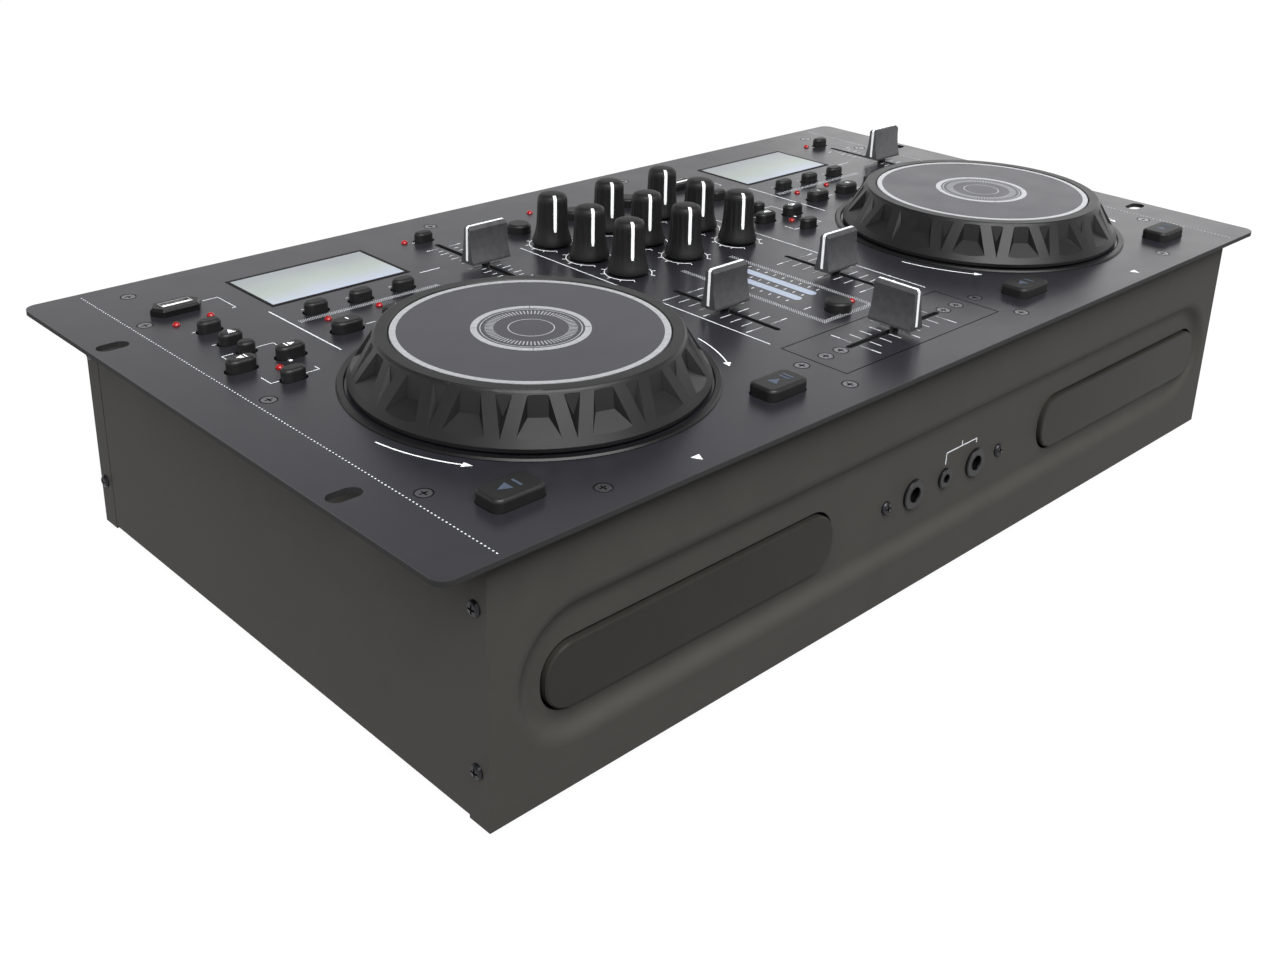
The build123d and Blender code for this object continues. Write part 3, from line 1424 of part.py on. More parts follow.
def power_inlet():
    """The mains inlet: a flanged moulding with a chamfered cavity and three flat blades."""
    with BuildPart() as inlet:
        with BuildSketch(rear_plane(body_back, inlet_z)):
            with Locations((-inlet_x, 0)):
                RectangleRounded(inlet_length + 4.0, inlet_height + 4.0, 2.0)
        extrude(amount=2.0)
        with BuildSketch(rear_plane(body_back, inlet_z)):
            with Locations((-inlet_x, 0)):
                Rectangle(inlet_length - 0.4, inlet_height - 0.4)
        extrude(amount=-inlet_depth - 2.0)
        with BuildSketch(rear_plane(body_back + 2.0, inlet_z)):
            with BuildLine():
                half_l, half_h, cut = inlet_cavity_length / 2, inlet_cavity_height / 2, 4.5
                Polyline(
                    (-inlet_x - half_l, -half_h), (-inlet_x + half_l, -half_h),
                    (-inlet_x + half_l, half_h - cut),
                    (-inlet_x + half_l - cut, half_h), (-inlet_x - half_l + cut, half_h),
                    (-inlet_x - half_l, half_h - cut), close=True
                )
            make_face()
        extrude(amount=-inlet_depth - 1.0, mode=Mode.SUBTRACT)
        with BuildSketch(rear_plane(body_back - inlet_depth + 1.0, inlet_z)):
            with Locations((-inlet_x - 7.0, -2.0), (-inlet_x + 7.0, -2.0), (-inlet_x, 2.2)):
                Rectangle(2.0, 4.0)
        extrude(amount=inlet_depth - 3.0)
    return inlet.part


rocker_axis_y = body_back - 1.0


def switch_body():
    """The power switch's housing: a flanged frame with two pins' sockets for the rocker."""
    with BuildPart() as housing:
        with BuildSketch(rear_plane(body_back, inlet_z)):
            with Locations((-switch_x, 0)):
                RectangleRounded(switch_length + 3.0, rocker_height + 3.0, 1.2)
        extrude(amount=1.6)
        with BuildSketch(rear_plane(body_back, inlet_z)):
            with Locations((-switch_x, 0)):
                Rectangle(switch_length - 0.4, rocker_height - 0.4)
        extrude(amount=-16.0)
        with BuildSketch(rear_plane(body_back + 1.6, inlet_z)):
            with Locations((-switch_x, 0)):
                Rectangle(switch_length - 3.0, rocker_height - 2.6)
        extrude(amount=-14.0, mode=Mode.SUBTRACT)
        with BuildSketch(side_plane(switch_x - switch_length / 2)):
            with Locations((rocker_axis_y, inlet_z)):
                Circle(1.0 + running_gap)
        extrude(amount=switch_length, mode=Mode.SUBTRACT)
    return housing.part


def power_rocker():
    """The rocker: a bowed paddle on two pins, with one end pressed in."""
    width = switch_length - 3.6
    low_y, out_y, in_y = rocker_axis_y - 5.0, body_back + 1.65, body_back - 0.55
    with BuildPart() as rocker:
        with BuildSketch(side_plane(switch_x - width / 2)):
            with BuildLine():
                Polyline((in_y, inlet_z + 7.2), (low_y + 2.0, inlet_z + 4.5), (low_y, inlet_z),
                         (low_y + 2.0, inlet_z - 4.5), (out_y, inlet_z - 7.0))
                ThreePointArc(
                    (out_y, inlet_z - 7.0), (body_back - 0.1, inlet_z - 0.6), (in_y, inlet_z + 7.2)
                )
            make_face()
        extrude(amount=width)
        with BuildSketch(side_plane(switch_x - switch_length / 2 + 0.3)):
            with Locations((rocker_axis_y, inlet_z)):
                Circle(1.0)
        extrude(amount=switch_length - 0.6)
    return rocker.part


save(Compound(children=[power_inlet(), switch_body()]), "power_inlet")
save(power_rocker(), "power_switch")
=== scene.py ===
# %% [markdown]
# # Dressing a rack-format disc console
# The solids of this console come from its CAD model: two decks with jog wheels, a mixer between them, a
# formed front with two disc trays. This lesson gives them their paint, rubber, print, lamps and glass, in
# one shared frame: metres, X to the right, Y to the back, Z up, the origin on the table under the middle
# of the panel.
# %% Load the frame
import math

import bmesh
import bpy
from mathutils import Matrix, Vector


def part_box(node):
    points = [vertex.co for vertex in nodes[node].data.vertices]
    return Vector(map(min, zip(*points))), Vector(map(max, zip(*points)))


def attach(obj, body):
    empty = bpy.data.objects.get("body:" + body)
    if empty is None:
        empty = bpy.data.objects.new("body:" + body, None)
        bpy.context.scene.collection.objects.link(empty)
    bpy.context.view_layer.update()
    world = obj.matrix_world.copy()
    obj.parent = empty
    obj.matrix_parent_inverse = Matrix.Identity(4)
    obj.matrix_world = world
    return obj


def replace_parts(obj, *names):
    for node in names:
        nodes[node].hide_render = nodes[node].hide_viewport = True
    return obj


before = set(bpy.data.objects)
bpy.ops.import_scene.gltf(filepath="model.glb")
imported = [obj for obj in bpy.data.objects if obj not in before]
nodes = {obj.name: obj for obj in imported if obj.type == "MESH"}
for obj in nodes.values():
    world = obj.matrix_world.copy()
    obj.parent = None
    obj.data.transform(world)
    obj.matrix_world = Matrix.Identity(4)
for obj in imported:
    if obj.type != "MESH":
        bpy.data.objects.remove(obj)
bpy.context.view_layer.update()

# %% [markdown]
# ## Places
# A console's drawing is a list of places on one flat panel. Both decks share one layout, so each thing on
# a deck is written once, from the deck's own middle line, and is used for both. Everything is in
# millimetres here, because a maker's drawing is, and becomes metres in one helper.
# %% Places and sizes
def mm(*values):
    """Metres from millimetres: one number, or a vector of three."""
    return values[0] / 1000 if len(values) == 1 else Vector([v / 1000 for v in values])

def plan_middle(name):
    """The middle of a node seen from above, in millimetres."""
    low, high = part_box(name)
    return tuple((low[i] + high[i]) * 500 for i in (0, 1))

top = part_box("top_panel")[1][2] * 1000
DECKS = {"left": -137.5, "right": 137.5}
WHEELS = {side: plan_middle(side + "_jog_plate") for side in DECKS}
FRONT_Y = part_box("front_panel")[0][1] * 1000
CHANNEL_DEPTH = 3.0
CHANNEL_Y = FRONT_Y + CHANNEL_DEPTH
print("panel top", round(top, 2), "front", round(FRONT_Y, 2))
print("wheels", {side: [round(v, 2) for v in centre] for side, centre in WHEELS.items()})

# %% [markdown]
# ## Finishes
# Paint, moulded plastic and rubber differ less in colour than in how they break up light: powder coat has
# a fine orange peel, moulded plastic a spark-eroded grain, rubber a soft dull skin. One helper mixes two
# near tones by noise, lets the roughness wander a little, and raises a fine grain with bump, all on
# Object coordinates, so that the finish stays put on a moving piece.
# %% The helper for a finish
def rgb(red, green, blue):
    """Linear colour from the 0 to 255 numbers of a colour chart."""
    out = []
    for v in (red, green, blue):
        v = v / 255
        out.append(v / 12.92 if v <= 0.04045 else ((v + 0.055) / 1.055) ** 2.4)
    return (*out, 1.0)

def finish(name, tone, rough, spread=0.12, patch=60.0, grain=1800.0, bump=0.12, **sockets):
    """Two near tones in patches, a roughness that wanders, and a fine raised grain."""
    wander = 0.06
    material = bpy.data.materials.new(name)
    material.use_nodes = True
    tree = material.node_tree
    shader = tree.nodes["Principled BSDF"]
    place = tree.nodes.new("ShaderNodeTexCoord")
    cloud = tree.nodes.new("ShaderNodeTexNoise")
    cloud.inputs["Scale"].default_value = patch
    cloud.inputs["Detail"].default_value = 4.0
    ramp = tree.nodes.new("ShaderNodeValToRGB")
    ramp.color_ramp.elements[0].position = 0.3
    ramp.color_ramp.elements[1].position = 0.7
    ramp.color_ramp.elements[0].color = [c * (1 - spread) for c in tone[:3]] + [1]
    ramp.color_ramp.elements[1].color = [min(1, c * (1 + spread)) for c in tone[:3]] + [1]
    dull = tree.nodes.new("ShaderNodeMapRange")
    dull.inputs["To Min"].default_value = max(0.02, rough - wander)
    dull.inputs["To Max"].default_value = min(1.0, rough + wander)
    peel = tree.nodes.new("ShaderNodeTexNoise")
    peel.inputs["Scale"].default_value = grain
    peel.inputs["Detail"].default_value = 2.0
    raised = tree.nodes.new("ShaderNodeBump")
    raised.inputs["Strength"].default_value = bump
    raised.inputs["Distance"].default_value = 0.0001
    for a, b in (
        (place.outputs["Object"], cloud.inputs["Vector"]), (place.outputs["Object"], peel.inputs["Vector"]),
        (cloud.outputs["Fac"], ramp.inputs["Fac"]), (ramp.outputs["Color"], shader.inputs["Base Color"]),
        (cloud.outputs["Fac"], dull.inputs["Value"]), (dull.outputs["Result"], shader.inputs["Roughness"]),
        (peel.outputs["Fac"], raised.inputs["Height"]), (raised.outputs["Normal"], shader.inputs["Normal"]),
    ):
        tree.links.new(a, b)
    for socket, value in sockets.items():
        shader.inputs[socket.replace("_", " ")].default_value = value
    return material

# %% The finishes of this console
PANEL = finish("panel coat with edge shade", rgb(31, 31, 36), 0.30, grain=2600, bump=0.10, spread=0.08)
CASE = finish("case coat", rgb(64, 63, 60), 0.46, grain=1500, bump=0.25, spread=0.05,
              Specular_IOR_Level=0.03)
TRAY = finish("tray front", rgb(42, 41, 38), 0.30, grain=2200, bump=0.12, spread=0.05,
              Specular_IOR_Level=0.06)
WHEEL = finish("wheel moulding", rgb(18, 18, 19), 0.41, grain=1700, bump=0.12, Specular_IOR_Level=0.33)
PLATE = finish("touch plate", rgb(43, 43, 50), 0.38, grain=3000, bump=0.06, spread=0.04)
RUBBER = finish("knob rubber", rgb(17, 17, 18), 0.52, grain=1400, bump=0.20, Specular_IOR_Level=0.32)
KEY = finish("key moulding", rgb(19, 19, 20), 0.46, grain=1600, bump=0.18, Specular_IOR_Level=0.38)
CAP = finish("cap paint", rgb(84, 84, 86), 0.33, patch=400, grain=2400, bump=0.10, Metallic=0.55)
GLOSS = finish("satin black", rgb(12, 12, 13), 0.36, grain=900, bump=0.04, Specular_IOR_Level=0.30)
BLACK = finish("window surround and gap shade", rgb(7, 7, 8), 0.5, grain=1800, bump=0.05, Specular_IOR_Level=0.12)
NICKEL = finish("dark nickel", rgb(46, 46, 49), 0.30, patch=700, grain=1500, bump=0.08, Metallic=0.9)
STEEL = finish("plain steel", rgb(160, 160, 162), 0.32, patch=200, grain=1200, bump=0.08, Metallic=1.0)
SCREW = finish("black nickel", rgb(132, 132, 136), 0.26, patch=700, grain=1500, bump=0.08, Metallic=1.0)
BRASS = finish("turned brass", rgb(190, 160, 95), 0.3, patch=300, Metallic=1.0)
BOARD = finish("board resist", rgb(18, 70, 42), 0.4, patch=90, spread=0.25)
DARK = finish("drive moulding", rgb(30, 30, 31), 0.55)
FOOT = finish("foot rubber", rgb(20, 20, 20), 0.8, grain=900, bump=0.3)
INK = finish("white ink", rgb(205, 208, 212), 0.55, patch=900, spread=0.05, grain=4000, bump=0.05)
BRIGHT = finish("bright ink", rgb(235, 237, 238), 0.5, patch=900, spread=0.03, grain=4000, bump=0.05)
FAINT = finish("faint ink", rgb(58, 68, 82), 0.5, patch=900, grain=4000, bump=0.05)
SILVER = finish("silver ring", rgb(178, 179, 182), 0.34, patch=800, grain=5000, bump=0.06, Metallic=0.55)
LAMP = finish("red lens", rgb(140, 8, 12), 0.22, patch=500, bump=0.01, Specular_IOR_Level=0.35,
              Coat_Weight=0.25, Coat_Roughness=0.12)
BAR = finish("frosted bar", rgb(146, 156, 172), 0.4, patch=150, spread=0.04)
print(len(bpy.data.materials), "finishes mixed")

# %% [markdown]
# ## The panel's edge
# Shade is painted on the cut edge of the sheet: the coat's colour darkens there, and it grows duller. It
# could be a second material on the edge's faces, but a CAD node's mesh is left alone here. The coat looks
# at its own height instead, through Object coordinates, and falls off between one and three tenths of a
# millimetre under the face.
# %% A coat with painted shade under the face
EDGE_SHADE_FULL, EDGE_SHADE_START = top - 0.3, top - 0.1
tree = PANEL.node_tree
shader = tree.nodes["Principled BSDF"]
split = tree.nodes.new("ShaderNodeSeparateXYZ")
edge = tree.nodes.new("ShaderNodeMapRange")
edge.inputs["From Min"].default_value = mm(EDGE_SHADE_FULL)
edge.inputs["From Max"].default_value = mm(EDGE_SHADE_START)
edge_shade_colour = tree.nodes.new("ShaderNodeMix")
edge_shade_colour.data_type = "RGBA"
# Painted shade: the dark colour of the sheet's edge under the face.
edge_shade_colour.inputs["A"].default_value = rgb(10, 10, 11)
dulled = tree.nodes.new("ShaderNodeMix")
dulled.inputs["A"].default_value = 0.85
tree.links.new(tree.nodes["Texture Coordinate"].outputs["Object"], split.inputs["Vector"])
tree.links.new(split.outputs["Z"], edge.inputs["Value"])
tree.links.new(edge.outputs["Result"], edge_shade_colour.inputs["Factor"])
tree.links.new(edge.outputs["Result"], dulled.inputs["Factor"])
tree.links.new(tree.nodes["Color Ramp"].outputs["Color"], edge_shade_colour.inputs["B"])
tree.links.new(tree.nodes["Map Range"].outputs["Result"], dulled.inputs["B"])
tree.links.new(edge_shade_colour.outputs["Result"], shader.inputs["Base Color"])
tree.links.new(dulled.outputs["Result"], shader.inputs["Roughness"])
print("panel edge darkens from", round(EDGE_SHADE_START, 2), "down to", round(EDGE_SHADE_FULL, 2))

# %% [markdown]
# ## Painting the solids
# Each CAD node keeps its shape and takes one of the finishes. A finish goes by what the real piece is
# made of, not by where it stands: the three folded sheets share a coat, and all keys share one moulding.
# %% Paint each node
COATS = {
    "top_panel": PANEL, "crossfader_plate": PANEL,
    "front_panel": CASE, "chassis_shell": CASE, "rear_panel": CASE, "rubber_feet": FOOT,
    "panel_screws": SCREW, "case_screws": SCREW, "jog_bezels": GLOSS, "jog_bearings": BRASS,
    "rotary_pots": STEEL, "fader_tracks": DARK, "display_windows": BLACK, "indicator_leds": LAMP,
    "level_meter": BAR, "usb_ports": GLOSS, "front_jacks": GLOSS, "rear_sockets": GLOSS,
    "control_board": BOARD, "main_board": BOARD, "power_supply": BOARD, "drive_frames": DARK,
    "disc_traverses": STEEL, "power_inlet": GLOSS, "power_switch": GLOSS,
}
ENDINGS = {"_jog_wheel": WHEEL, "_jog_plate": PLATE, "_knob": RUBBER, "_key": KEY, "_keys": KEY, "fader": CAP,
           "_disc_tray": TRAY}

def coat_of(name):
    """A node's own finish, or the one that goes with the ending of its name."""
    return COATS.get(name) or next(coat for end, coat in ENDINGS.items() if name.endswith(end))

for name in nodes:
    nodes[name].data.materials.clear()
    nodes[name].data.materials.append(coat_of(name))
print("painted", len(nodes), "nodes")

# %% [markdown]
# ## Print on the panel
# The white lines, ticks and dots are screen printed: a film of ink a few hundredths of a millimetre
# thick. Here each is real geometry of about that thickness, so that it also shows in a plain mesh. What
# repeats is made by Geometry Nodes: one tree sets marks along a line, one round a circle, one draws a
# stroke along a path, and one fills a strip with dots.
# %% A helper that builds a tree with named inputs
KINDS = {int: "NodeSocketInt", float: "NodeSocketFloat", tuple: "NodeSocketVector"}
A_FINISH, AN_OBJECT = "NodeSocketMaterial", "NodeSocketObject"

class Recipe:
    """A Geometry Nodes tree under construction; each input is given by a first value or a socket's kind."""

    def __init__(self, name, **inputs):
        self.tree = bpy.data.node_groups.new(name, "GeometryNodeTree")
        self.slots = {}
        face = self.tree.interface
        face.new_socket("Geometry", in_out="INPUT", socket_type="NodeSocketGeometry")
        for label, value in inputs.items():
            kind_only = isinstance(value, str)
            kind = value if kind_only else KINDS[type(value)]
            socket = face.new_socket(label, in_out="INPUT", socket_type=kind)
            if not kind_only:
                socket.default_value = value
            self.slots[label] = socket.identifier
        face.new_socket("Geometry", in_out="OUTPUT", socket_type="NodeSocketGeometry")
        self.given = self.tree.nodes.new("NodeGroupInput").outputs
        self.result = self.tree.nodes.new("NodeGroupOutput").inputs[0]

    def add(self, kind, out=0, mode=None, **sockets):
        """Adds a node, links or sets its inputs, by name or as i0, i1 and so on, and returns one output."""
        node = self.tree.nodes.new(kind)
        for key, value in (mode or {}).items():
            setattr(node, key, value)
        for label, value in sockets.items():
            numbered = label[0] == "i" and label[1:].isdigit()
            socket = node.inputs[int(label[1:]) if numbered else label.replace("_", " ")]
            if isinstance(value, bpy.types.NodeSocket):
                self.tree.links.new(value, socket)
            else:
                socket.default_value = value
        return node.outputs[out]

    def end(self, geometry):
        real = self.add("GeometryNodeRealizeInstances", Geometry=geometry)
        done = self.add("GeometryNodeSetMaterial", Geometry=real, Material=self.given["Finish"])
        self.tree.links.new(done, self.result)

def grow(recipe, seed, **values):
    """Runs a tree on a seed mesh and returns the plain mesh that comes out."""
    holder = bpy.data.objects.new("holder", seed or bpy.data.meshes.new("seed"))
    bpy.context.scene.collection.objects.link(holder)
    step = holder.modifiers.new("recipe", "NODES")
    step.node_group = recipe.tree
    for label, value in values.items():
        step[recipe.slots[label]] = value
    graph = bpy.context.evaluated_depsgraph_get()
    mesh = bpy.data.meshes.new_from_object(holder.evaluated_get(graph))
    bpy.data.objects.remove(holder)
    return mesh

# %% The four trees for print
FILM = 0.07  # the thickness of the ink

marks_on_line = Recipe("marks on a line", Count=10, Start=(0.0, 0.0, 0.0), Step=(0.001, 0.0, 0.0),
                       Size=(0.001, 0.001, 0.0001), Finish=A_FINISH)
g = marks_on_line.given
line = marks_on_line.add("GeometryNodeMeshLine", mode={"mode": "OFFSET"}, Count=g["Count"],
                         Start_Location=g["Start"], Offset=g["Step"])
mark = marks_on_line.add("GeometryNodeMeshCube", Size=g["Size"])
marks_on_line.end(marks_on_line.add("GeometryNodeInstanceOnPoints", Points=line, Instance=mark))

marks_on_arc = Recipe("marks on an arc", Count=10, Centre=(0.0, 0.0, 0.0), Radius=0.01, First=0.0, Turn=0.5,
                      Size=(0.001, 0.001, 0.0001), Finish=A_FINISH)
g = marks_on_arc.given
add = marks_on_arc.add
index = add("GeometryNodeInputIndex")
angle = add("ShaderNodeMath", mode={"operation": "MULTIPLY_ADD"}, i0=index, i1=g["Turn"], i2=g["First"])
cosine = add("ShaderNodeMath", mode={"operation": "COSINE"}, i0=angle)
sine = add("ShaderNodeMath", mode={"operation": "SINE"}, i0=angle)
spoke = add("ShaderNodeCombineXYZ", X=cosine, Y=sine)
reach = add("ShaderNodeVectorMath", mode={"operation": "SCALE"}, i0=spoke, Scale=g["Radius"])
place = add("ShaderNodeVectorMath", mode={"operation": "ADD"}, i0=reach, i1=g["Centre"])
dots = add("GeometryNodeMeshLine", Count=g["Count"])
placed = add("GeometryNodeSetPosition", Geometry=dots, Position=place)
mark = add("GeometryNodeMeshCube", Size=g["Size"])
euler = add("ShaderNodeCombineXYZ", Z=angle)
turned = add("FunctionNodeEulerToRotation", Euler=euler)
marks_on_arc.end(add("GeometryNodeInstanceOnPoints", Points=placed, Instance=mark, Rotation=turned))

stroke = Recipe("stroke along a path", Width=0.0005, Height=0.00006, Finish=A_FINISH)
g = stroke.given
path = stroke.add("GeometryNodeMeshToCurve", Mesh=g["Geometry"])
upright = stroke.add("GeometryNodeSetCurveNormal", mode={"mode": "Z_UP"}, Curve=path)
nib = stroke.add("GeometryNodeCurvePrimitiveQuadrilateral", Width=g["Width"], Height=g["Height"])
stroke.end(stroke.add("GeometryNodeCurveToMesh", Curve=upright, Profile_Curve=nib, Fill_Caps=True))

dot_field = Recipe("field of dots", Columns=10, Rows=2, Length=0.01, Width=0.002, Centre=(0.0, 0.0, 0.0),
                   Dot=0.0003, Finish=A_FINISH)
g = dot_field.given
add = dot_field.add
field = add("GeometryNodeMeshGrid", Size_X=g["Length"], Size_Y=g["Width"], Vertices_X=g["Columns"],
            Vertices_Y=g["Rows"])
moved = add("GeometryNodeTransform", Geometry=field, Translation=g["Centre"])
dot = add("GeometryNodeMeshCylinder", Vertices=6, Radius=g["Dot"], Depth=0.00006)
dot_field.end(add("GeometryNodeInstanceOnPoints", Points=moved, Instance=dot))
print("trees:", [t.name for t in bpy.data.node_groups])

# %% Helpers that place print
INK_Z = top + FILM / 2

def path_mesh(points, closed):
    """Bare edges from point to point, for a stroke to follow."""
    mesh = bpy.data.meshes.new("path")
    edges = [(i, i + 1) for i in range(len(points) - 1)]
    if closed:
        edges.append((len(points) - 1, 0))
    mesh.from_pydata([mm(*p) for p in points], edges, [])
    return mesh

def draw(points, width, ink=INK, closed=False):
    """A stroke of ink on the panel's face."""
    path = path_mesh([(*p, INK_Z) for p in points], closed)
    return grow(stroke, path, Width=mm(width), Height=mm(FILM), Finish=ink)

def arc(x, y, radius, first, last, steps):
    angles = [math.radians(first + (last - first) * k / steps) for k in range(steps + 1)]
    return [(x + radius * math.cos(a), y + radius * math.sin(a)) for a in angles]

def ticks(count, start, step, size):
    return grow(marks_on_line, None, Count=count, Start=mm(*start, INK_Z), Step=mm(*step, 0),
                Size=mm(*size, FILM), Finish=INK)

def ring_ticks(count, centre, radius, first, turn, size, ink, z=INK_Z):
    return grow(marks_on_arc, None, Count=count, Centre=mm(*centre, z), Radius=mm(radius),
                First=math.radians(first), Turn=math.radians(turn), Size=mm(*size, FILM), Finish=ink)

def hatch(columns, rows, centre, length, width):
    """A strip of dots, as a coarse screen prints a grey."""
    return grow(dot_field, None, Columns=columns, Rows=rows, Centre=mm(*centre, INK_Z), Length=mm(length),
                Width=mm(width), Dot=mm(0.18), Finish=INK)

# %% Helpers that make a mesh and join meshes to a piece
def skin(name, rows, ink=None, ends="flat"):
    """A mesh over rows of points, each row joined to the next by a ring of quads.

    Its ends are flat faces, joined to each other, or points that run together in a pole.
    """
    tool = bmesh.new()
    rings = [[tool.verts.new(point) for point in row] for row in rows]
    if ends == "joined":
        rings.append(rings[0])
    for one, two in zip(rings, rings[1:]):
        for k in range(len(one)):
            n = (k + 1) % len(one)
            tool.faces.new((one[k], one[n], two[n], two[k]))
    if ends == "flat":
        tool.faces.new(reversed(rings[0]))
        tool.faces.new(rings[-1])
    if ends == "pole":
        bmesh.ops.remove_doubles(tool, verts=tool.verts, dist=0.000002)
    bmesh.ops.recalc_face_normals(tool, faces=tool.faces)
    mesh = bpy.data.meshes.new(name)
    tool.to_mesh(mesh)
    tool.free()
    if ink:
        mesh.materials.append(ink)
    return mesh

def turns(sides):
    """The angles of a full turn, in radians."""
    return [2 * math.pi * k / sides for k in range(sides)]

def shape(outline, ink, z=top):
    """A flat printed figure with a closed outline."""
    return skin("figure", [[mm(x, y, level) for x, y in outline] for level in (z, z + FILM)], ink)

def piece(name, meshes, body="console", smooth=False):
    """Joins plain meshes into one object and lets it ride on a body."""
    tool = bmesh.new()
    inks = []
    for mesh in meshes:
        before = len(tool.faces)
        tool.from_mesh(mesh)
        tool.faces.ensure_lookup_table()
        for face in tool.faces[before:]:
            ink = mesh.materials[face.material_index] if mesh.materials else None
            if ink not in inks:
                inks.append(ink)
            face.material_index = inks.index(ink)
            face.smooth = smooth
    mesh = bpy.data.meshes.new(name)
    tool.to_mesh(mesh)
    tool.free()
    for ink in inks:
        mesh.materials.append(ink)
    thing = bpy.data.objects.new(name, mesh)
    bpy.context.scene.collection.objects.link(thing)
    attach(thing, body)
    print(name, "has", len(mesh.polygons), "faces on", body)
    return thing

# %% [markdown]
# ## The decks' print
# Round each deck's controls stand a fader scale, separator lines, a dotted rule over the loop keys and
# two arcs with arrow heads that show which way the wheel bends the pitch. All of it is one piece on each
# deck, because it is printed in one go and never moves.
# %% Print of one deck
BEND_RADIUS = 71.4  # of the two arcs round a wheel
PITCH_LOW, PITCH_STEP = 30.3, 7.5  # the pitch scale's lowest tick and the way to the next

def bend_arc(x, y, first, last, turn):
    """An arc round a wheel with an arrow head at its end, which points along the turn."""
    a = math.radians(last)
    tip = a + turn * 3.4 / BEND_RADIUS
    head = [(BEND_RADIUS * math.cos(tip), BEND_RADIUS * math.sin(tip))]
    head += [((BEND_RADIUS + s) * math.cos(a), (BEND_RADIUS + s) * math.sin(a)) for s in (1.5, -1.5)]
    return [draw(arc(x, y, BEND_RADIUS, first, last, 30), 0.5, BRIGHT),
            shape([(x + px, y + py) for px, py in head], BRIGHT)]

def pitch_scale(x):
    """Two ladders of ticks, with half steps between and three long ticks at the ends and the middle."""
    made = []
    for count, low, step, size, pair in (
        (9, PITCH_LOW, PITCH_STEP, (4.2, 0.35), (58.4, 68.4)),
        (8, PITCH_LOW + PITCH_STEP / 2, PITCH_STEP, (2.4, 0.3), (59.3, 67.5)),
        (3, PITCH_LOW, 4 * PITCH_STEP, (6.2, 0.5), (57.4, 69.4)),
    ):
        made += [ticks(count, (x + place, low), (0, step), size) for place in pair]
    return made

def dashes(x, places):
    """Short leader lines beside the keys: left end, right end and height on the panel."""
    return [draw([(x + left, y), (x + right, y)], 0.4) for left, right, y in places]

def deck_print(side, x):
    made = pitch_scale(x) + [
        draw([(x - 34.9, 69.6), (x - 34.9, 19.6)], 0.55), draw([(x + 35.8, 69.6), (x + 45.8, 69.6)], 0.45),
        draw([(x - 48.5, 96.2), (x - 41.9, 96.2), (x - 41.9, 82.2), (x - 43.4, 82.2)], 0.45),
        draw([(x - 69.6, 15.6), (x - 69.6, 9.2), (x - 66.4, 9.2)], 0.45),
        draw([(x - 56.6, 9.5), (x - 50.3, 9.5), (x - 50.3, 12.6)], 0.45),
        draw([(x - 57.2, 41.0), (x - 50.0, 41.0), (x - 50.0, 31.5)], 0.4),
        draw([(x - 66.0, 41.0), (x - 70.5, 41.0), (x - 70.5, 31.5)], 0.4),
        shape([(x - 53.8 + 0.75 * math.cos(a), 22.6 + 0.75 * math.sin(a)) for a in turns(12)], BRIGHT),
        hatch(62, 3, (x + 0.7, 52.9), 64.2, 2.1), hatch(61, 2, (x + 0.7, 52.9), 63.1, 1.05),
    ]
    made += bend_arc(*WHEELS[side], -173, -147, 1) + bend_arc(*WHEELS[side], -11, -31, -1)
    made.append(shape([(x - 1.0, -124.2), (x + 2.6, -124.2), (x + 0.8, -127.6)], BRIGHT))
    made += dashes(x, [(-67.6, -66.2, 68.2), (-68.0, -66.4, 52.6), (-13.6, -9.6, 35.2), (9.2, 13.2, 35.2),
                       (31.6, 34.6, 35.2), (-4.4, -3.2, 63.4), (16.0, 17.2, 63.4), (-24.6, -23.4, 63.4),
                       (56.0, 57.4, 103.4)])
    return piece(side + "_deck_print", made)

for side, x in DECKS.items():
    deck_print(side, x)

# %% [markdown]
# ## The mixer's print
# A knob's scale is an arc from seven to five o'clock with a tick at each step. A fader's scale is a
# ladder, longer at its ends and middle. The same trees draw all of them with other numbers.
# %% Print of the mixer
KNOBS = {name: plan_middle(name) for name in nodes if name.endswith("_knob")}
KNOB_FIRST, KNOB_SWEEP = -120.0, -300.0  # seven o'clock, and the turn from there, in degrees

def knob_scale(x, y):
    return [draw(arc(x, y, 10.1, KNOB_FIRST, KNOB_FIRST + KNOB_SWEEP, 48), 0.34, BRIGHT),
            ring_ticks(11, (x, y), 11.1, KNOB_FIRST, KNOB_SWEEP / 10, (1.7, 0.36), BRIGHT)]

def ladder(x, y, pitch, inner, short, long, along_x=False):
    """Nine ticks on each side of a fader's slot; the end ones and the middle one are longer and thicker."""
    made = []
    for side in (-1, 1):
        for count, step, reach, width in ((9, pitch, short, 0.34), (3, 4 * pitch, long, 0.5)):
            length, middle = reach - inner, side * (reach + inner) / 2
            start = -(count - 1) * step / 2
            if along_x:
                made.append(ticks(count, (x + start, y + middle), (step, 0), (width, length)))
            else:
                made.append(ticks(count, (x + middle, y + start), (0, step), (length, width)))
    return made

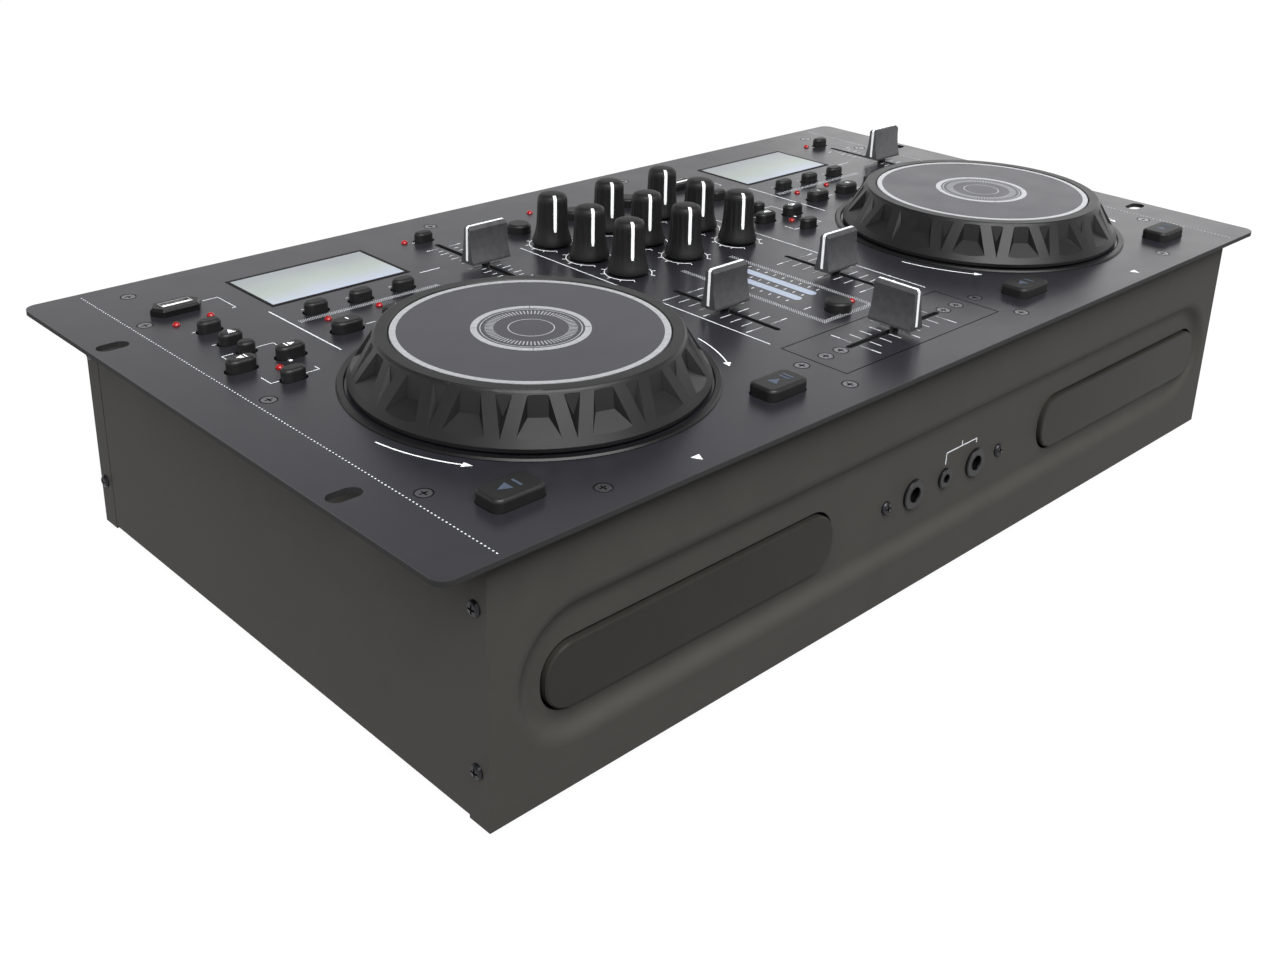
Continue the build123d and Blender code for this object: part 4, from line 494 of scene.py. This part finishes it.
mixer = [draw([(x, 68.6), (x, -78.0)], 0.5) for x in (-48.6, 49.2)]
for x, y in KNOBS.values():
    mixer += knob_scale(x, y)
for x in (-35.0, 34.8):
    mixer += ladder(x, -41.6, 5.65, 2.2, 8.2, 11.8)
mixer += ladder(0.5, -98.7, 6.03, 2.0, 7.6, 11.9, True)
meter_x = plan_middle("level_meter")[0]
mixer += [ticks(9, (meter_x + s, -51.0), (0, 4.7), (1.7, 0.4)) for s in (-9.6, 0, 9.6)]
for x in (-14.6, 15.4):
    mixer += [hatch(3, 66, (x, -36.6), 2.1, 76.0), hatch(2, 65, (x, -36.6), 1.05, 74.8)]
mixer += [hatch(30, 3, (0.4, -76.2), 32.0, 2.1), hatch(29, 2, (0.4, -76.2), 30.9, 1.05)]
mixer += dashes(0, [(-10.4, -6.0, -62.2), (-23.0, -20.6, 87.2), (10.6, 13.0, 87.2), (-40.5, -36.0, 97.0),
                    (-2.2, 2.2, 97.0)])
piece("mixer_print", mixer)

# %% [markdown]
# ## Lines off the mixer
# A dotted line runs down each rack ear. Round the crossfader's own plate lies a gap in shade, painted as a
# black line over the plate's outline. On the front, a bracket ties the two jacks on the right together; it
# lies on the channel's upright floor, so its bars lie in that plane and not in the panel's.
# %% Dotted lines, the painted shade of the plate's gap and the bracket over the jacks
low, high = (corner * 1000 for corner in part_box("crossfader_plate"))
gap = [(low[0], low[1]), (high[0], low[1]), (high[0], high[1]), (low[0], high[1])]
# Painted shade: a black stroke round the crossfader plate, for the gap.
piece("plate_gap", [draw(gap, 0.5, BLACK, True)])

def upright_bar(x, z, wide, tall):
    """One bar of print on the channel's upright floor."""
    return grow(marks_on_line, None, Count=1, Start=mm(x, CHANNEL_Y - FILM / 2, z), Step=mm(1, 0, 0),
                Size=mm(wide, FILM, tall), Finish=INK)

piece("jack_bracket", [upright_bar(17.3, 55.2, 21.0, 0.45), upright_bar(7.0, 52.6, 0.45, 4.8),
                       upright_bar(27.6, 54.2, 0.45, 1.6), upright_bar(17.3, 56.4, 0.45, 2.0)])

EAR_LINE_X, EAR_LINE_START, EAR_DOTS, EAR_PITCH = 220.0, -130.0, 148, 1.755
ears = [ticks(EAR_DOTS, (s * EAR_LINE_X, EAR_LINE_START), (0, EAR_PITCH), (0.42, 0.62)) for s in (-1, 1)]
piece("ear_lines", ears)

# %% [markdown]
# ## The wheels' tops
# A satin touch plate fills each wheel, with a silver ring near its edge and a ring of fine ticks in its
# middle. The rings are inlaid foil. They could be painted on by a material, but a thin band with softened
# edges catches the light as foil does, also in a plain mesh. They turn with the wheel.
# %% Rings and ticks of the wheels
def band(x, y, z, inner, outer, height, ink, sides=96):
    """A flat ring with softened edges, made by turning a section."""
    soft = min(0.25, (outer - inner) / 4)
    section = [(inner, 0), (inner, height * 0.6), (inner + soft, height), (outer - soft, height),
               (outer, height * 0.6), (outer, 0)]
    rows = [[mm(x + r * math.cos(a), y + r * math.sin(a), z + h) for r, h in section] for a in turns(sides)]
    return skin("band", rows, ink, "joined")

for side, (x, y) in WHEELS.items():
    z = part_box(side + "_jog_plate")[1][2] * 1000
    rings = [
        band(x, y, z, 46.3, 48.5, 0.12, SILVER, 128), band(x, y, z, 18.7, 21.0, 0.1, SILVER),
        band(x, y, z, 17.5, 17.85, 0.08, SILVER), band(x, y, z, 7.8, 8.2, 0.08, SILVER, 64),
        ring_ticks(72, (x, y), 14.6, 0, 5, (3.1, 0.44), SILVER, z + FILM / 2),
        ring_ticks(4, (x, y), 19.85, 52, 90, (2.2, 0.25), PLATE, z + 0.09),
    ]
    piece(side + "_wheel_rings", rings, side + "_wheel")

# %% [markdown]
# ## Knobs
# A mixer knob is soft rubber moulded over a hard core: a flat crown with a rounded edge, fine flutes for
# the fingers that fade out above a low flare, and a bore for the shaft. It is turned here from one
# outline, and the flutes are pressed into its side, because a plain turned body would slip in the hand
# and look like a peg.
# %% The knobs
FLUTES, FLUTE_DEPTH = 18, 0.3
KNOB_GAP = 0.7  # between the panel and the rubber
SHAFT_REACH = 12.0  # how far the shaft goes up inside

def knob_outline(high):
    """Radius and height of the rubber, from the middle of the crown down and back up the bore."""
    return [
        (0.0, high), (3.4, high - 0.05), (5.0, high - 0.3), (5.95, high - 0.85), (6.45, high - 1.8),
        (6.62, high - 3.2), (6.68, high - 4.2), (6.8, 13.4), (7.0, 9.4), (7.16, 7.6), (7.55, 5.4), (8.2, 3.2),
        (8.8, 1.5), (8.8, 0.5), (8.45, 0.0), (3.15, 0.0), (3.15, high - 3.0), (0.0, high - 3.0),
    ]

def knob_mesh(x, y, low, high):
    """The rubber, with flutes on the rows between the crown's edge and the flare."""
    rows = []
    for radius, z in knob_outline(high - low):
        fluted = radius > 6.0 and 7.0 < z < high - low - 3.5
        row = []
        for a in turns(6 * FLUTES):
            pressed = FLUTE_DEPTH * (0.5 + 0.5 * math.cos(FLUTES * a)) ** 2 if fluted else 0.0
            r = max(radius - pressed, 0.0005)  # a pole's points lie this close before they are merged
            row.append(mm(x + r * math.cos(a), y + r * math.sin(a), low + z))
        rows.append(row)
    return skin("knob", rows, RUBBER, "pole")

def shaft_mesh(x, y, low, high):
    """The shaft under a knob, bevelled at its lower end."""
    outline = ((2.6, low), (2.95, low + 0.4), (2.95, high))
    rows = [[mm(x + r * math.cos(a), y + r * math.sin(a), z) for a in turns(32)] for r, z in outline]
    return skin("shaft", rows, STEEL)

for name, (x, y) in KNOBS.items():
    low, high = (corner[2] * 1000 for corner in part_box(name))
    made = [knob_mesh(x, y, top + KNOB_GAP, high), shaft_mesh(x, y, low, top + SHAFT_REACH)]
    body = name.removesuffix("_knob")
    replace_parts(piece(body + "_grip", made, body, smooth=True), name)
print("knob from", round(low, 2), "to", round(high, 2), "over a panel at", round(top, 2))

# %% [markdown]
# ## Knob pointers
# Each knob has a white line in its side, from the crown down to the flare, that says where it stands. A
# painted mask would need the knob's own coordinates; a strip over the knob's outline, a little proud of
# the flutes, is simpler, and it turns with the knob.
# %% Pointers on the knobs
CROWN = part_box("master_level_knob")[1][2] * 1000
POINTER = [(3.2, -0.05), (5.0, -0.3), (5.95, -0.85), (6.45, -1.8), (6.62, -3.2), (6.68, -4.2), (6.8, -10.2),
           (7.0, -14.2), (7.16, -16.0)]  # radius, and height from the crown
POINTER_WIDTH, POINTER_PROUD, POINTER_DEPTH = 1.35, 0.12, 0.6

def pointer(x, y, angle):
    """A strip down the side of a knob, narrower at its ends."""
    a = math.radians(angle)
    out, side = Vector((math.cos(a), math.sin(a), 0)), Vector((-math.sin(a), math.cos(a), 0))
    rows = []
    for k, (r, fall) in enumerate(POINTER):
        half = side * POINTER_WIDTH / (2 if 0 < k < len(POINTER) - 1 else 3)
        centre = Vector((x, y, CROWN + fall)) + out * (r + POINTER_PROUD)
        deep = centre - out * POINTER_DEPTH - Vector((0, 0, 0.2))
        rows.append([point / 1000 for point in (deep - half, centre - half, centre + half, deep + half)])
    return skin("pointer", rows, BRIGHT)

for name, (x, y) in KNOBS.items():
    body = name.removesuffix("_knob")
    piece(body + "_pointer", [pointer(x, y, KNOB_FIRST)], body)

# %% [markdown]
# ## Lines on the fader caps
# A cap's white line has to be read from above and from both ends, so it runs over the ridge and down both
# end faces. It could be printed on by a material, but the strip is bent over the cap's outline here,
# because a thin closed strip keeps a sharp edge at any picture size and moves with the cap.
# %% Lines over the caps
FADERS = {"left_pitch_fader": "left_pitch", "right_pitch_fader": "right_pitch",
          "left_channel_fader": "left_channel", "right_channel_fader": "right_channel", "crossfader": "cross"}
RIDGE_LENGTH, FOOT_LENGTH, LINE_PROUD, LINE_HALF = 19.6, 20.0, 0.1, 0.62

def cap_line(name):
    """A strip over the cap's ridge and down the middle of both its end faces."""
    x, y = plan_middle(name)
    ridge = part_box(name)[1][2] * 1000 - top
    ridge_end, foot_end = RIDGE_LENGTH / 2 + LINE_PROUD, FOOT_LENGTH / 2 + LINE_PROUD
    route = [(-foot_end, 3.9), (-ridge_end, ridge - 0.75), (0.85 - ridge_end, ridge + LINE_PROUD)]
    route += [(-run, z) for run, z in reversed(route)]
    rows = []
    for run, z in route:
        inward = 0.35 if run < 0 else -0.35
        row = []
        for across, more, sunk in ((-1, 0, 0), (1, 0, 0), (1, inward, 0.3), (-1, inward, 0.3)):
            step = (across * LINE_HALF, run + more)
            px, py = step if name == "crossfader" else reversed(step)
            row.append(mm(x + px, y + py, top + z - sunk))
        rows.append(row)
    return skin("cap line", rows, BRIGHT)

for name, body in FADERS.items():
    piece(name + "_line", [cap_line(name)], body)

# %% [markdown]
# ## Signs on the keys
# The keys carry plain signs, made of triangles and bars alone. They are printed on the keys' tops, so
# they are thin figures that lie on the top of the solid, and they go down with the key.
# %% Signs on the keys
def put(points, x, y, way):
    """Turns a figure by way, in degrees, and moves its middle to a place."""
    a = math.radians(way)
    return [(x + px * math.cos(a) - py * math.sin(a), y + px * math.sin(a) + py * math.cos(a))
            for px, py in points]

def triangle(x, y, size, way):
    return put([(size, 0), (-size * 0.7, size * 0.85), (-size * 0.7, -size * 0.85)], x, y, way)

def bar(x, y, length, width, way=90.0):
    half, thin = length / 2, width / 2
    return put([(-half, -thin), (half, -thin), (half, thin), (-half, thin)], x, y, way)

def signs(side, keys, name, ink, figures):
    """Prints figures on one group of keys, which carries them."""
    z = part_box(f"{side}_{keys}")[1][2] * 1000
    piece(f"{side}_{name}", [shape(figure, ink, z) for figure in figures], f"{side}_{keys}_travel")

for side, x in DECKS.items():
    signs(side, "track_keys", "track_signs", BRIGHT, [
        triangle(x - 71.3, 26.4, 1.5, 180), bar(x - 69.2, 26.4, 2.8, 0.5),
        triangle(x - 51.2, 26.4, 1.5, 0), bar(x - 53.3, 26.4, 2.8, 0.5),
    ])
    signs(side, "source_keys", "source_signs", BRIGHT, [
        triangle(x - 61.5, 51.2, 1.3, 90), bar(x - 61.5, 49.4, 3.0, 0.5, 0),
    ])
    signs(side, "play_key", "play_sign", FAINT, [
        triangle(x + 56.6, -108.2, 2.6, 0), bar(x + 61.6, -108.2, 4.6, 0.9), bar(x + 63.6, -108.2, 4.6, 0.9),
    ])
    signs(side, "cue_key", "cue_sign", FAINT, [
        triangle(x - 62.2, -107.8, 2.6, 180), bar(x - 57.4, -107.8, 4.6, 0.9),
    ])
    signs(side, "loop_keys", "loop_signs", BRIGHT, [
        bar(x - 22.3, 34.8, 2.2, 0.5), bar(x + 0.3, 34.8, 2.2, 0.5), bar(x + 1.5, 34.8, 2.2, 0.5),
        triangle(x + 22.9, 34.8, 1.0, 0),
    ])

# %% [markdown]
# ## Screws
# A cross recess is cut by a tapered punch: four arms, deep in the middle. One head is modelled in rings
# round its axis, the flat one for the panel and the domed one for the case, and a tree sets it on each
# place. Each place is a bare point, and an attribute of the point says which way its screw faces.
# %% One screw head and its tree
RECESS_REACH, RECESS_HALF = 1.55, 0.34  # how far an arm of the cross reaches, and half its width
ARM_EDGE = math.degrees(math.atan2(RECESS_HALF, RECESS_REACH))
HEAD_ANGLES = [q * 90 + a for q in range(4) for a in (0, ARM_EDGE, 28.7, 45, 61.3, 90 - ARM_EDGE)]

def recess_radius(angle):
    """How far the cross reaches from its middle, at an angle in degrees."""
    a = abs((angle + 45) % 90 - 45)
    if a < ARM_EDGE:
        return RECESS_REACH / math.cos(math.radians(a))
    return RECESS_HALF / math.sin(math.radians(a))

def screw_head(name, rings):
    """Rings are (radius or None for the recess, share of the recess, height)."""
    rows = []
    for radius, share, z in rings:
        polar = [(radius or share * recess_radius(a), math.radians(a)) for a in HEAD_ANGLES]
        rows.append([mm(r * math.cos(a), r * math.sin(a), z) for r, a in polar])
    return bpy.data.objects.new(name, skin(name, rows))

flat_head = screw_head("flat head", [
    (1.45, 0, -5.9), (1.45, 0, -1.5), (2.72, 0, -0.25), (2.72, 0, -0.06), (2.6, 0, 0.0),
    (None, 1.0, 0.0), (None, 0.82, -0.75), (None, 0.35, -1.05),
])
domed_head = screw_head("domed head", [
    (1.45, 0, -3.9), (1.45, 0, 0.0), (2.7, 0, 0.0), (2.62, 0, 0.5), (2.3, 0, 1.0), (1.95, 0, 1.3),
    (None, 1.0, 1.45), (None, 0.82, 0.7), (None, 0.35, 0.4),
])

screws = Recipe("screws on seats", Head=AN_OBJECT, Finish=A_FINISH)
g = screws.given
head = screws.add("GeometryNodeObjectInfo", "Geometry", Object=g["Head"])
facing = screws.add("GeometryNodeInputNamedAttribute", mode={"data_type": "FLOAT_VECTOR"}, Name="facing")
turned = screws.add("FunctionNodeAlignRotationToVector", mode={"axis": "Z"}, Vector=facing)
screws.end(screws.add("GeometryNodeInstanceOnPoints", Points=g["Geometry"], Instance=head, Rotation=turned))
print("heads have", [len(h.data.polygons) for h in (flat_head, domed_head)], "faces")

def seats(places):
    """A mesh of bare points, each with the direction that its screw faces."""
    mesh = bpy.data.meshes.new("seats")
    mesh.from_pydata([mm(*p) for p, _ in places], [], [])
    data = mesh.attributes.new("facing", "FLOAT_VECTOR", "POINT").data
    for item, (_, way) in zip(data, places):
        item.vector = way
    return mesh

# %% [markdown]
# ## Screws in their seats
# The panel's screws are countersunk, so a narrow gap in shade shows round each flat head: a thin black
# ring on the panel is painted shade for it. The case's screws are domed and sit on the sheet. The
# crossfader plate is held by four flat screws of its own.
# %% Seat the screws
UP, FRONT, BACK = (0, 0, 1), (0, -1, 0), (0, 1, 0)
PLATE_SCREW_Y, PLATE_SCREW_X = -98.8, (32.7, 41.4)
CASE_SIDE_X, CASE_BACK_Y = 221.65, 125.75
JACK_MIDDLE_X, JACK_Z, JACK_SCREW_HALF = 7.0, 44.6, 37.6

panel_places = [(s * x, y) for s in (-1, 1) for x, y in (
    (214.5, 86.2), (214.5, -1.9), (214.5, -88.8), (205.5, 118.55), (60.5, 118.55), (172.5, -120.85),
    (55.0, -120.85), (55.0, -98.8))]
flat = grow(screws, seats([((x, y, top), UP) for x, y in panel_places]), Head=flat_head, Finish=SCREW)
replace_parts(piece("panel_screw_heads", [flat]), "panel_screws")

plate_places = [(s * x, PLATE_SCREW_Y) for s in (-1, 1) for x in PLATE_SCREW_X]
# Painted shade: a thin black ring on the panel round each flat head, for the gap.
rings = [band(x, y, top, 2.75, 3.15, 0.05, BLACK, 24) for x, y in panel_places + plate_places]
piece("screw_seats", rings)

case_places = [((s * CASE_SIDE_X, y, z), (s, 0, 0)) for s in (-1, 1) for y in (-121.75, 121.65)
               for z in (80.6, 24.6)]
case_places += [((x, CASE_BACK_Y, 16.0), BACK) for x in (-205, -70, 70, 205)]
case_places += [((JACK_MIDDLE_X + s * JACK_SCREW_HALF, CHANNEL_Y, JACK_Z), FRONT) for s in (-1, 1)]
domed = grow(screws, seats(case_places), Head=domed_head, Finish=NICKEL)
plate_seats = seats([((x, y, top + 0.02), UP) for x, y in plate_places])
bright = grow(screws, plate_seats, Head=flat_head, Finish=SCREW)
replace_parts(piece("case_screw_heads", [domed, bright]), "case_screws")

# %% [markdown]
# ## Displays
# Each display is a pale, unlit liquid crystal sheet behind a clear window, with a thin black surround. A
# clear window over a sheet would be truer, but needs many samples; here the window's solid is the
# surround, and a thin sheet lies on its middle, with a painted reflection that runs bluish at its front,
# greenish in its middle and grey at its back.
# %% The sheet's finish, with a painted reflection tint
# The painted reflection tint runs between these two places on the panel.
SHEET_FRONT, SHEET_BACK = 70.0, 113.0  # between these places on the panel the tint runs
SHEET = finish("display sheet with painted reflection", rgb(150, 156, 162), 0.34, patch=30, spread=0.05, grain=600, bump=0.01,
               Specular_IOR_Level=0.3, Coat_Weight=0.1, Coat_Roughness=0.12)
tree = SHEET.node_tree
shader, cloud = tree.nodes["Principled BSDF"], tree.nodes["Noise Texture"]
place = tree.nodes["Texture Coordinate"]
split = tree.nodes.new("ShaderNodeSeparateXYZ")
depth = tree.nodes.new("ShaderNodeMapRange")
depth.inputs["From Min"].default_value = mm(SHEET_FRONT)
depth.inputs["From Max"].default_value = mm(SHEET_BACK)
drift = tree.nodes.new("ShaderNodeMath")
drift.operation = "MULTIPLY_ADD"
drift.inputs[1].default_value = 0.35
reflection_tint = tree.nodes.new("ShaderNodeValToRGB")
reflection_tint.color_ramp.elements[0].color = rgb(160, 167, 188)
reflection_tint.color_ramp.elements[0].position = 0.15
reflection_tint.color_ramp.elements[1].color = rgb(130, 135, 139)
reflection_tint.color_ramp.elements[1].position = 1.0
middle = reflection_tint.color_ramp.elements.new(0.6)
middle.color = rgb(146, 154, 148)
tree.links.new(place.outputs["Object"], split.inputs["Vector"])
tree.links.new(split.outputs["Y"], depth.inputs["Value"])
tree.links.new(cloud.outputs["Fac"], drift.inputs[0])
tree.links.new(depth.outputs["Result"], drift.inputs[2])
tree.links.new(drift.outputs["Value"], reflection_tint.inputs["Fac"])
tree.links.new(reflection_tint.outputs["Color"], shader.inputs["Base Color"])

# %% Display sheets
def oblong(x, y, length, width, grown, z):
    """The corners of a rectangle that is grown on every side."""
    reach, half = length / 2 + grown, width / 2 + grown
    return [mm(x + sx * reach, y + sy * half, z) for sx, sy in ((-1, -1), (1, -1), (1, 1), (-1, 1))]

def plate(x, y, length, width, low, high, ink, soft):
    """A thin rectangular plate with softened top edges."""
    levels = ((0, low), (0, high - soft), (-soft, high))
    return skin("plate", [oblong(x, y, length, width, grown, z) for grown, z in levels], ink)

for side, x in DECKS.items():
    piece(side + "_display_sheet", [plate(x + 0.9, 91.4, 61.6, 33.2, top - 0.8, top + 0.26, SHEET, 0.06)])

# %% [markdown]
# ## Memory sockets
# A memory socket shows a bright folded shell with a pale tongue, in a black surround. The shell is one
# strip of sheet metal, so it is a rectangular tube with a wall of its own here, and not a bright face on
# the solid.
# %% Socket shells and tongues
WHITE = finish("pale moulding", rgb(232, 232, 228), 0.4, patch=300, spread=0.03)
CHROME = finish("nickel plate", rgb(205, 205, 208), 0.18, patch=300, spread=0.04, bump=0.02, Metallic=1.0)

def tube(x, y, length, width, wall, low, high, ink):
    """An upright rectangular tube."""
    levels = ((0, low), (0, high), (-wall, high), (-wall, low))
    return skin("tube", [oblong(x, y, length, width, grown, z) for grown, z in levels], ink, "joined")

PORT_X = -61.0  # from a deck's middle line
for side, x in DECKS.items():
    piece(side + "_port_shell", [
        tube(x + PORT_X, 93.2, 12.56, 4.76, 0.3, top - 7.5, top + 3.45, CHROME),
        plate(x + PORT_X, 92.3, 11.7, 2.4, top - 7.0, top + 3.1, WHITE, 0.1),
    ])

# %% [markdown]
# ## Jack linings
# Each of the three jacks has a thin dark metal lining inside its moulded ring. It could be a second
# finish on the ring's bore, but a turned ring of its own shows the lip that the plug slides over.
# %% Rings in an upright wall
def lining(x, z, inner, outer, face_y, depth, ink, way=1, sides=40):
    """A ring round a bore in an upright wall; way is 1 on the front and -1 on the back."""
    lip = min(0.25, (outer - inner) / 3)
    section = [(inner, depth), (inner, 0.25), (inner + lip, -0.02), (outer - lip, -0.12), (outer, 0.05),
               (outer, depth)]
    rows = [[mm(x + r * math.cos(a), face_y + way * d, z + r * math.sin(a)) for r, d in section]
            for a in turns(sides)]
    return skin("lining", rows, ink, "joined")

JACK_FACE, JACK_PITCH = CHANNEL_Y - 1.3, 20.6
linings = [lining(JACK_MIDDLE_X, JACK_Z, 1.78, 2.2, JACK_FACE, 1.2, NICKEL)]
for s in (-1, 1):
    linings.append(lining(JACK_MIDDLE_X + s * JACK_PITCH, JACK_Z, 3.16, 3.75, JACK_FACE, 1.6, NICKEL))
piece("jack_linings", linings, smooth=True)

# %% [markdown]
# ## Sockets at the back
# A phono socket is a nickel barrel round a coloured insulator: red for the right channel, white for the
# left. The colours tell the leads apart. A node takes one finish here, so the barrel and the insulator
# are added as turned rings over the moulded face, each with a finish of its own.
# %% Barrels and insulators
RED = finish("red insulator", rgb(170, 22, 24), 0.38, patch=400, spread=0.05)
PHONO_X = (-60.0, -42.0, -24.0, 20.0, 38.0, 56.0)
PHONO_ROWS = ((39.5, RED), (55.5, WHITE))
PHONO_FACE = 132.55
phono = []
for x in PHONO_X:
    for z, ink in PHONO_ROWS:
        phono.append(lining(x, z, 4.12, 4.45, PHONO_FACE, 6.6, CHROME, -1, 32))
        phono.append(lining(x, z, 1.75, 3.9, PHONO_FACE, 0.6, ink, -1, 32))
piece("phono_rings", phono, smooth=True)

# %% [markdown]
# ## Camera
# The camera stands in front of the left corner and looks down at the panel, with its picture shifted a
# little. Its place and its three axes were found by fitting the edges of the case, so that they meet the
# photograph's.
# %% Camera
camera_data = bpy.data.cameras.new("camera")
camera_data.sensor_width = 36.0
camera_data.lens = 40.62
camera_data.shift_x = -0.01023
camera_data.shift_y = -0.1178
camera_data.clip_start = 0.01
camera = bpy.data.objects.new("camera", camera_data)
right = Vector((0.7151, -0.6984, 0.0300))
down = Vector((-0.2370, -0.2826, -0.9295))
ahead = Vector((0.6577, 0.6575, -0.3676))
turn = Matrix((right, -down, -ahead)).transposed().to_4x4()
camera.matrix_world = Matrix.Translation(mm(-433.6, -400.75, 303.6)) @ turn
bpy.context.scene.collection.objects.link(camera)
bpy.context.scene.camera = camera
print("camera at", [round(v, 3) for v in camera.matrix_world.translation])

# %% [markdown]
# ## Floor
# A product stands on white paper that is lit until it is blank. Bright lamps could do that, but would
# wash out the dark case. So the paper is dim to every other ray, and glows in part where the camera or a
# mirror sees it.
# %% Floor
floor_mesh = bpy.data.meshes.new("floor")
floor_mesh.from_pydata([(-6, -6, 0), (6, -6, 0), (6, 6, 0), (-6, 6, 0)], [], [(0, 1, 2, 3)])
floor = bpy.data.objects.new("floor", floor_mesh)
bpy.context.scene.collection.objects.link(floor)
FLOOR = finish("floor", (0.14, 0.14, 0.14, 1), 0.9, patch=2.0, spread=0.01, grain=50, bump=0.0,
               Specular_IOR_Level=0.0)
GLOW_SHARE, GLOW_STRENGTH = 0.64, 1.50
floor_mesh.materials.append(FLOOR)
tree = FLOOR.node_tree
shine = tree.nodes.new("ShaderNodeEmission")
rays = tree.nodes.new("ShaderNodeLightPath")
seen = tree.nodes.new("ShaderNodeMath")
seen.operation = "MAXIMUM"
part = tree.nodes.new("ShaderNodeMath")
part.operation = "MULTIPLY"
part.inputs[1].default_value = GLOW_SHARE
blend = tree.nodes.new("ShaderNodeMixShader")
tree.links.new(rays.outputs["Is Camera Ray"], seen.inputs[0])
tree.links.new(rays.outputs["Is Glossy Ray"], seen.inputs[1])
tree.links.new(seen.outputs["Value"], part.inputs[0])
tree.links.new(part.outputs["Value"], blend.inputs["Fac"])
tree.links.new(tree.nodes["Principled BSDF"].outputs["BSDF"], blend.inputs[1])
tree.links.new(shine.outputs["Emission"], blend.inputs[2])
tree.links.new(blend.outputs["Shader"], tree.nodes["Material Output"].inputs["Surface"])
shine.inputs["Strength"].default_value = GLOW_STRENGTH

# %% [markdown]
# ## World
# A studio's white walls are a bright band round the horizon. They put the grey sheen on the panel, more
# where the view grazes it. One plain colour would light the part flatly, so only mirrored rays see the
# band; the camera sees white, and every other ray a dim grey.
# %% World: bright near the horizon, dim overhead, plain white to the camera
world = bpy.data.worlds.new("studio")
bpy.context.scene.world = world
world.use_nodes = True
tree = world.node_tree
tree.nodes.clear()
out = tree.nodes.new("ShaderNodeOutputWorld")
glow = tree.nodes.new("ShaderNodeBackground")
plain = tree.nodes.new("ShaderNodeBackground")
plain.inputs["Color"].default_value = (1, 1, 1, 1)
rays = tree.nodes.new("ShaderNodeLightPath")
choose = tree.nodes.new("ShaderNodeMixShader")
where = tree.nodes.new("ShaderNodeTexCoord")
split = tree.nodes.new("ShaderNodeSeparateXYZ")
fade = tree.nodes.new("ShaderNodeValToRGB")
fade.color_ramp.elements[0].position = 0.30
fade.color_ramp.elements[0].color = (1, 1, 1, 1)
fade.color_ramp.elements[1].position = 0.56
fade.color_ramp.elements[1].color = (0.22, 0.22, 0.23, 1)
tree.links.new(where.outputs["Generated"], split.inputs["Vector"])
tree.links.new(split.outputs["Z"], fade.inputs["Fac"])
tree.links.new(fade.outputs["Color"], glow.inputs["Color"])
dim = tree.nodes.new("ShaderNodeBackground")
dim.inputs["Color"].default_value = (0.22, 0.22, 0.225, 1)
mirrored = tree.nodes.new("ShaderNodeMixShader")
tree.links.new(rays.outputs["Is Glossy Ray"], mirrored.inputs["Fac"])
tree.links.new(dim.outputs["Background"], mirrored.inputs[1])
tree.links.new(glow.outputs["Background"], mirrored.inputs[2])
tree.links.new(rays.outputs["Is Camera Ray"], choose.inputs["Fac"])
tree.links.new(mirrored.outputs["Shader"], choose.inputs[1])
tree.links.new(plain.outputs["Background"], choose.inputs[2])
tree.links.new(choose.outputs["Shader"], out.inputs["Surface"])

# %% [markdown]
# ## Lamps
# A broad soft box hangs over the front. A key on the left lights the left wall, and a fill behind lifts
# the back. The key and the fill are hidden from mirrored rays, so that their outlines don't show in the
# glossy parts. The lamp at the right is low and weak, because a stronger one glared on the panel.
# %% Lamps
def soft_box(name, place, aim, size, power):
    data = bpy.data.lights.new(name, "AREA")
    data.shape = "RECTANGLE"
    data.size, data.size_y = size
    data.energy = power
    lamp = bpy.data.objects.new(name, data)
    way = (Vector(aim) - Vector(place)).normalized()
    lamp.matrix_world = Matrix.Translation(place) @ way.to_track_quat("-Z", "Y").to_matrix().to_4x4()
    bpy.context.scene.collection.objects.link(lamp)
    return lamp

soft_box("overhead", (-0.35, -1.0, 1.6), (-0.05, 0, 0.1), (1.8, 1.1), 57)
soft_box("key", (-1.75, -0.6, 1.3), (0, 0, 0.08), (1.6, 1.2), 31).visible_glossy = False
soft_box("back fill", (0.5, 2.1, 1.0), (0, 0, 0.08), (1.6, 1.0), 12).visible_glossy = False
soft_box("rear", (2.80, 0.75, 0.76), (0.1, 0.0, 0.1), (2.6, 0.9), 6.0)
bpy.context.scene.view_settings.view_transform = "Standard"
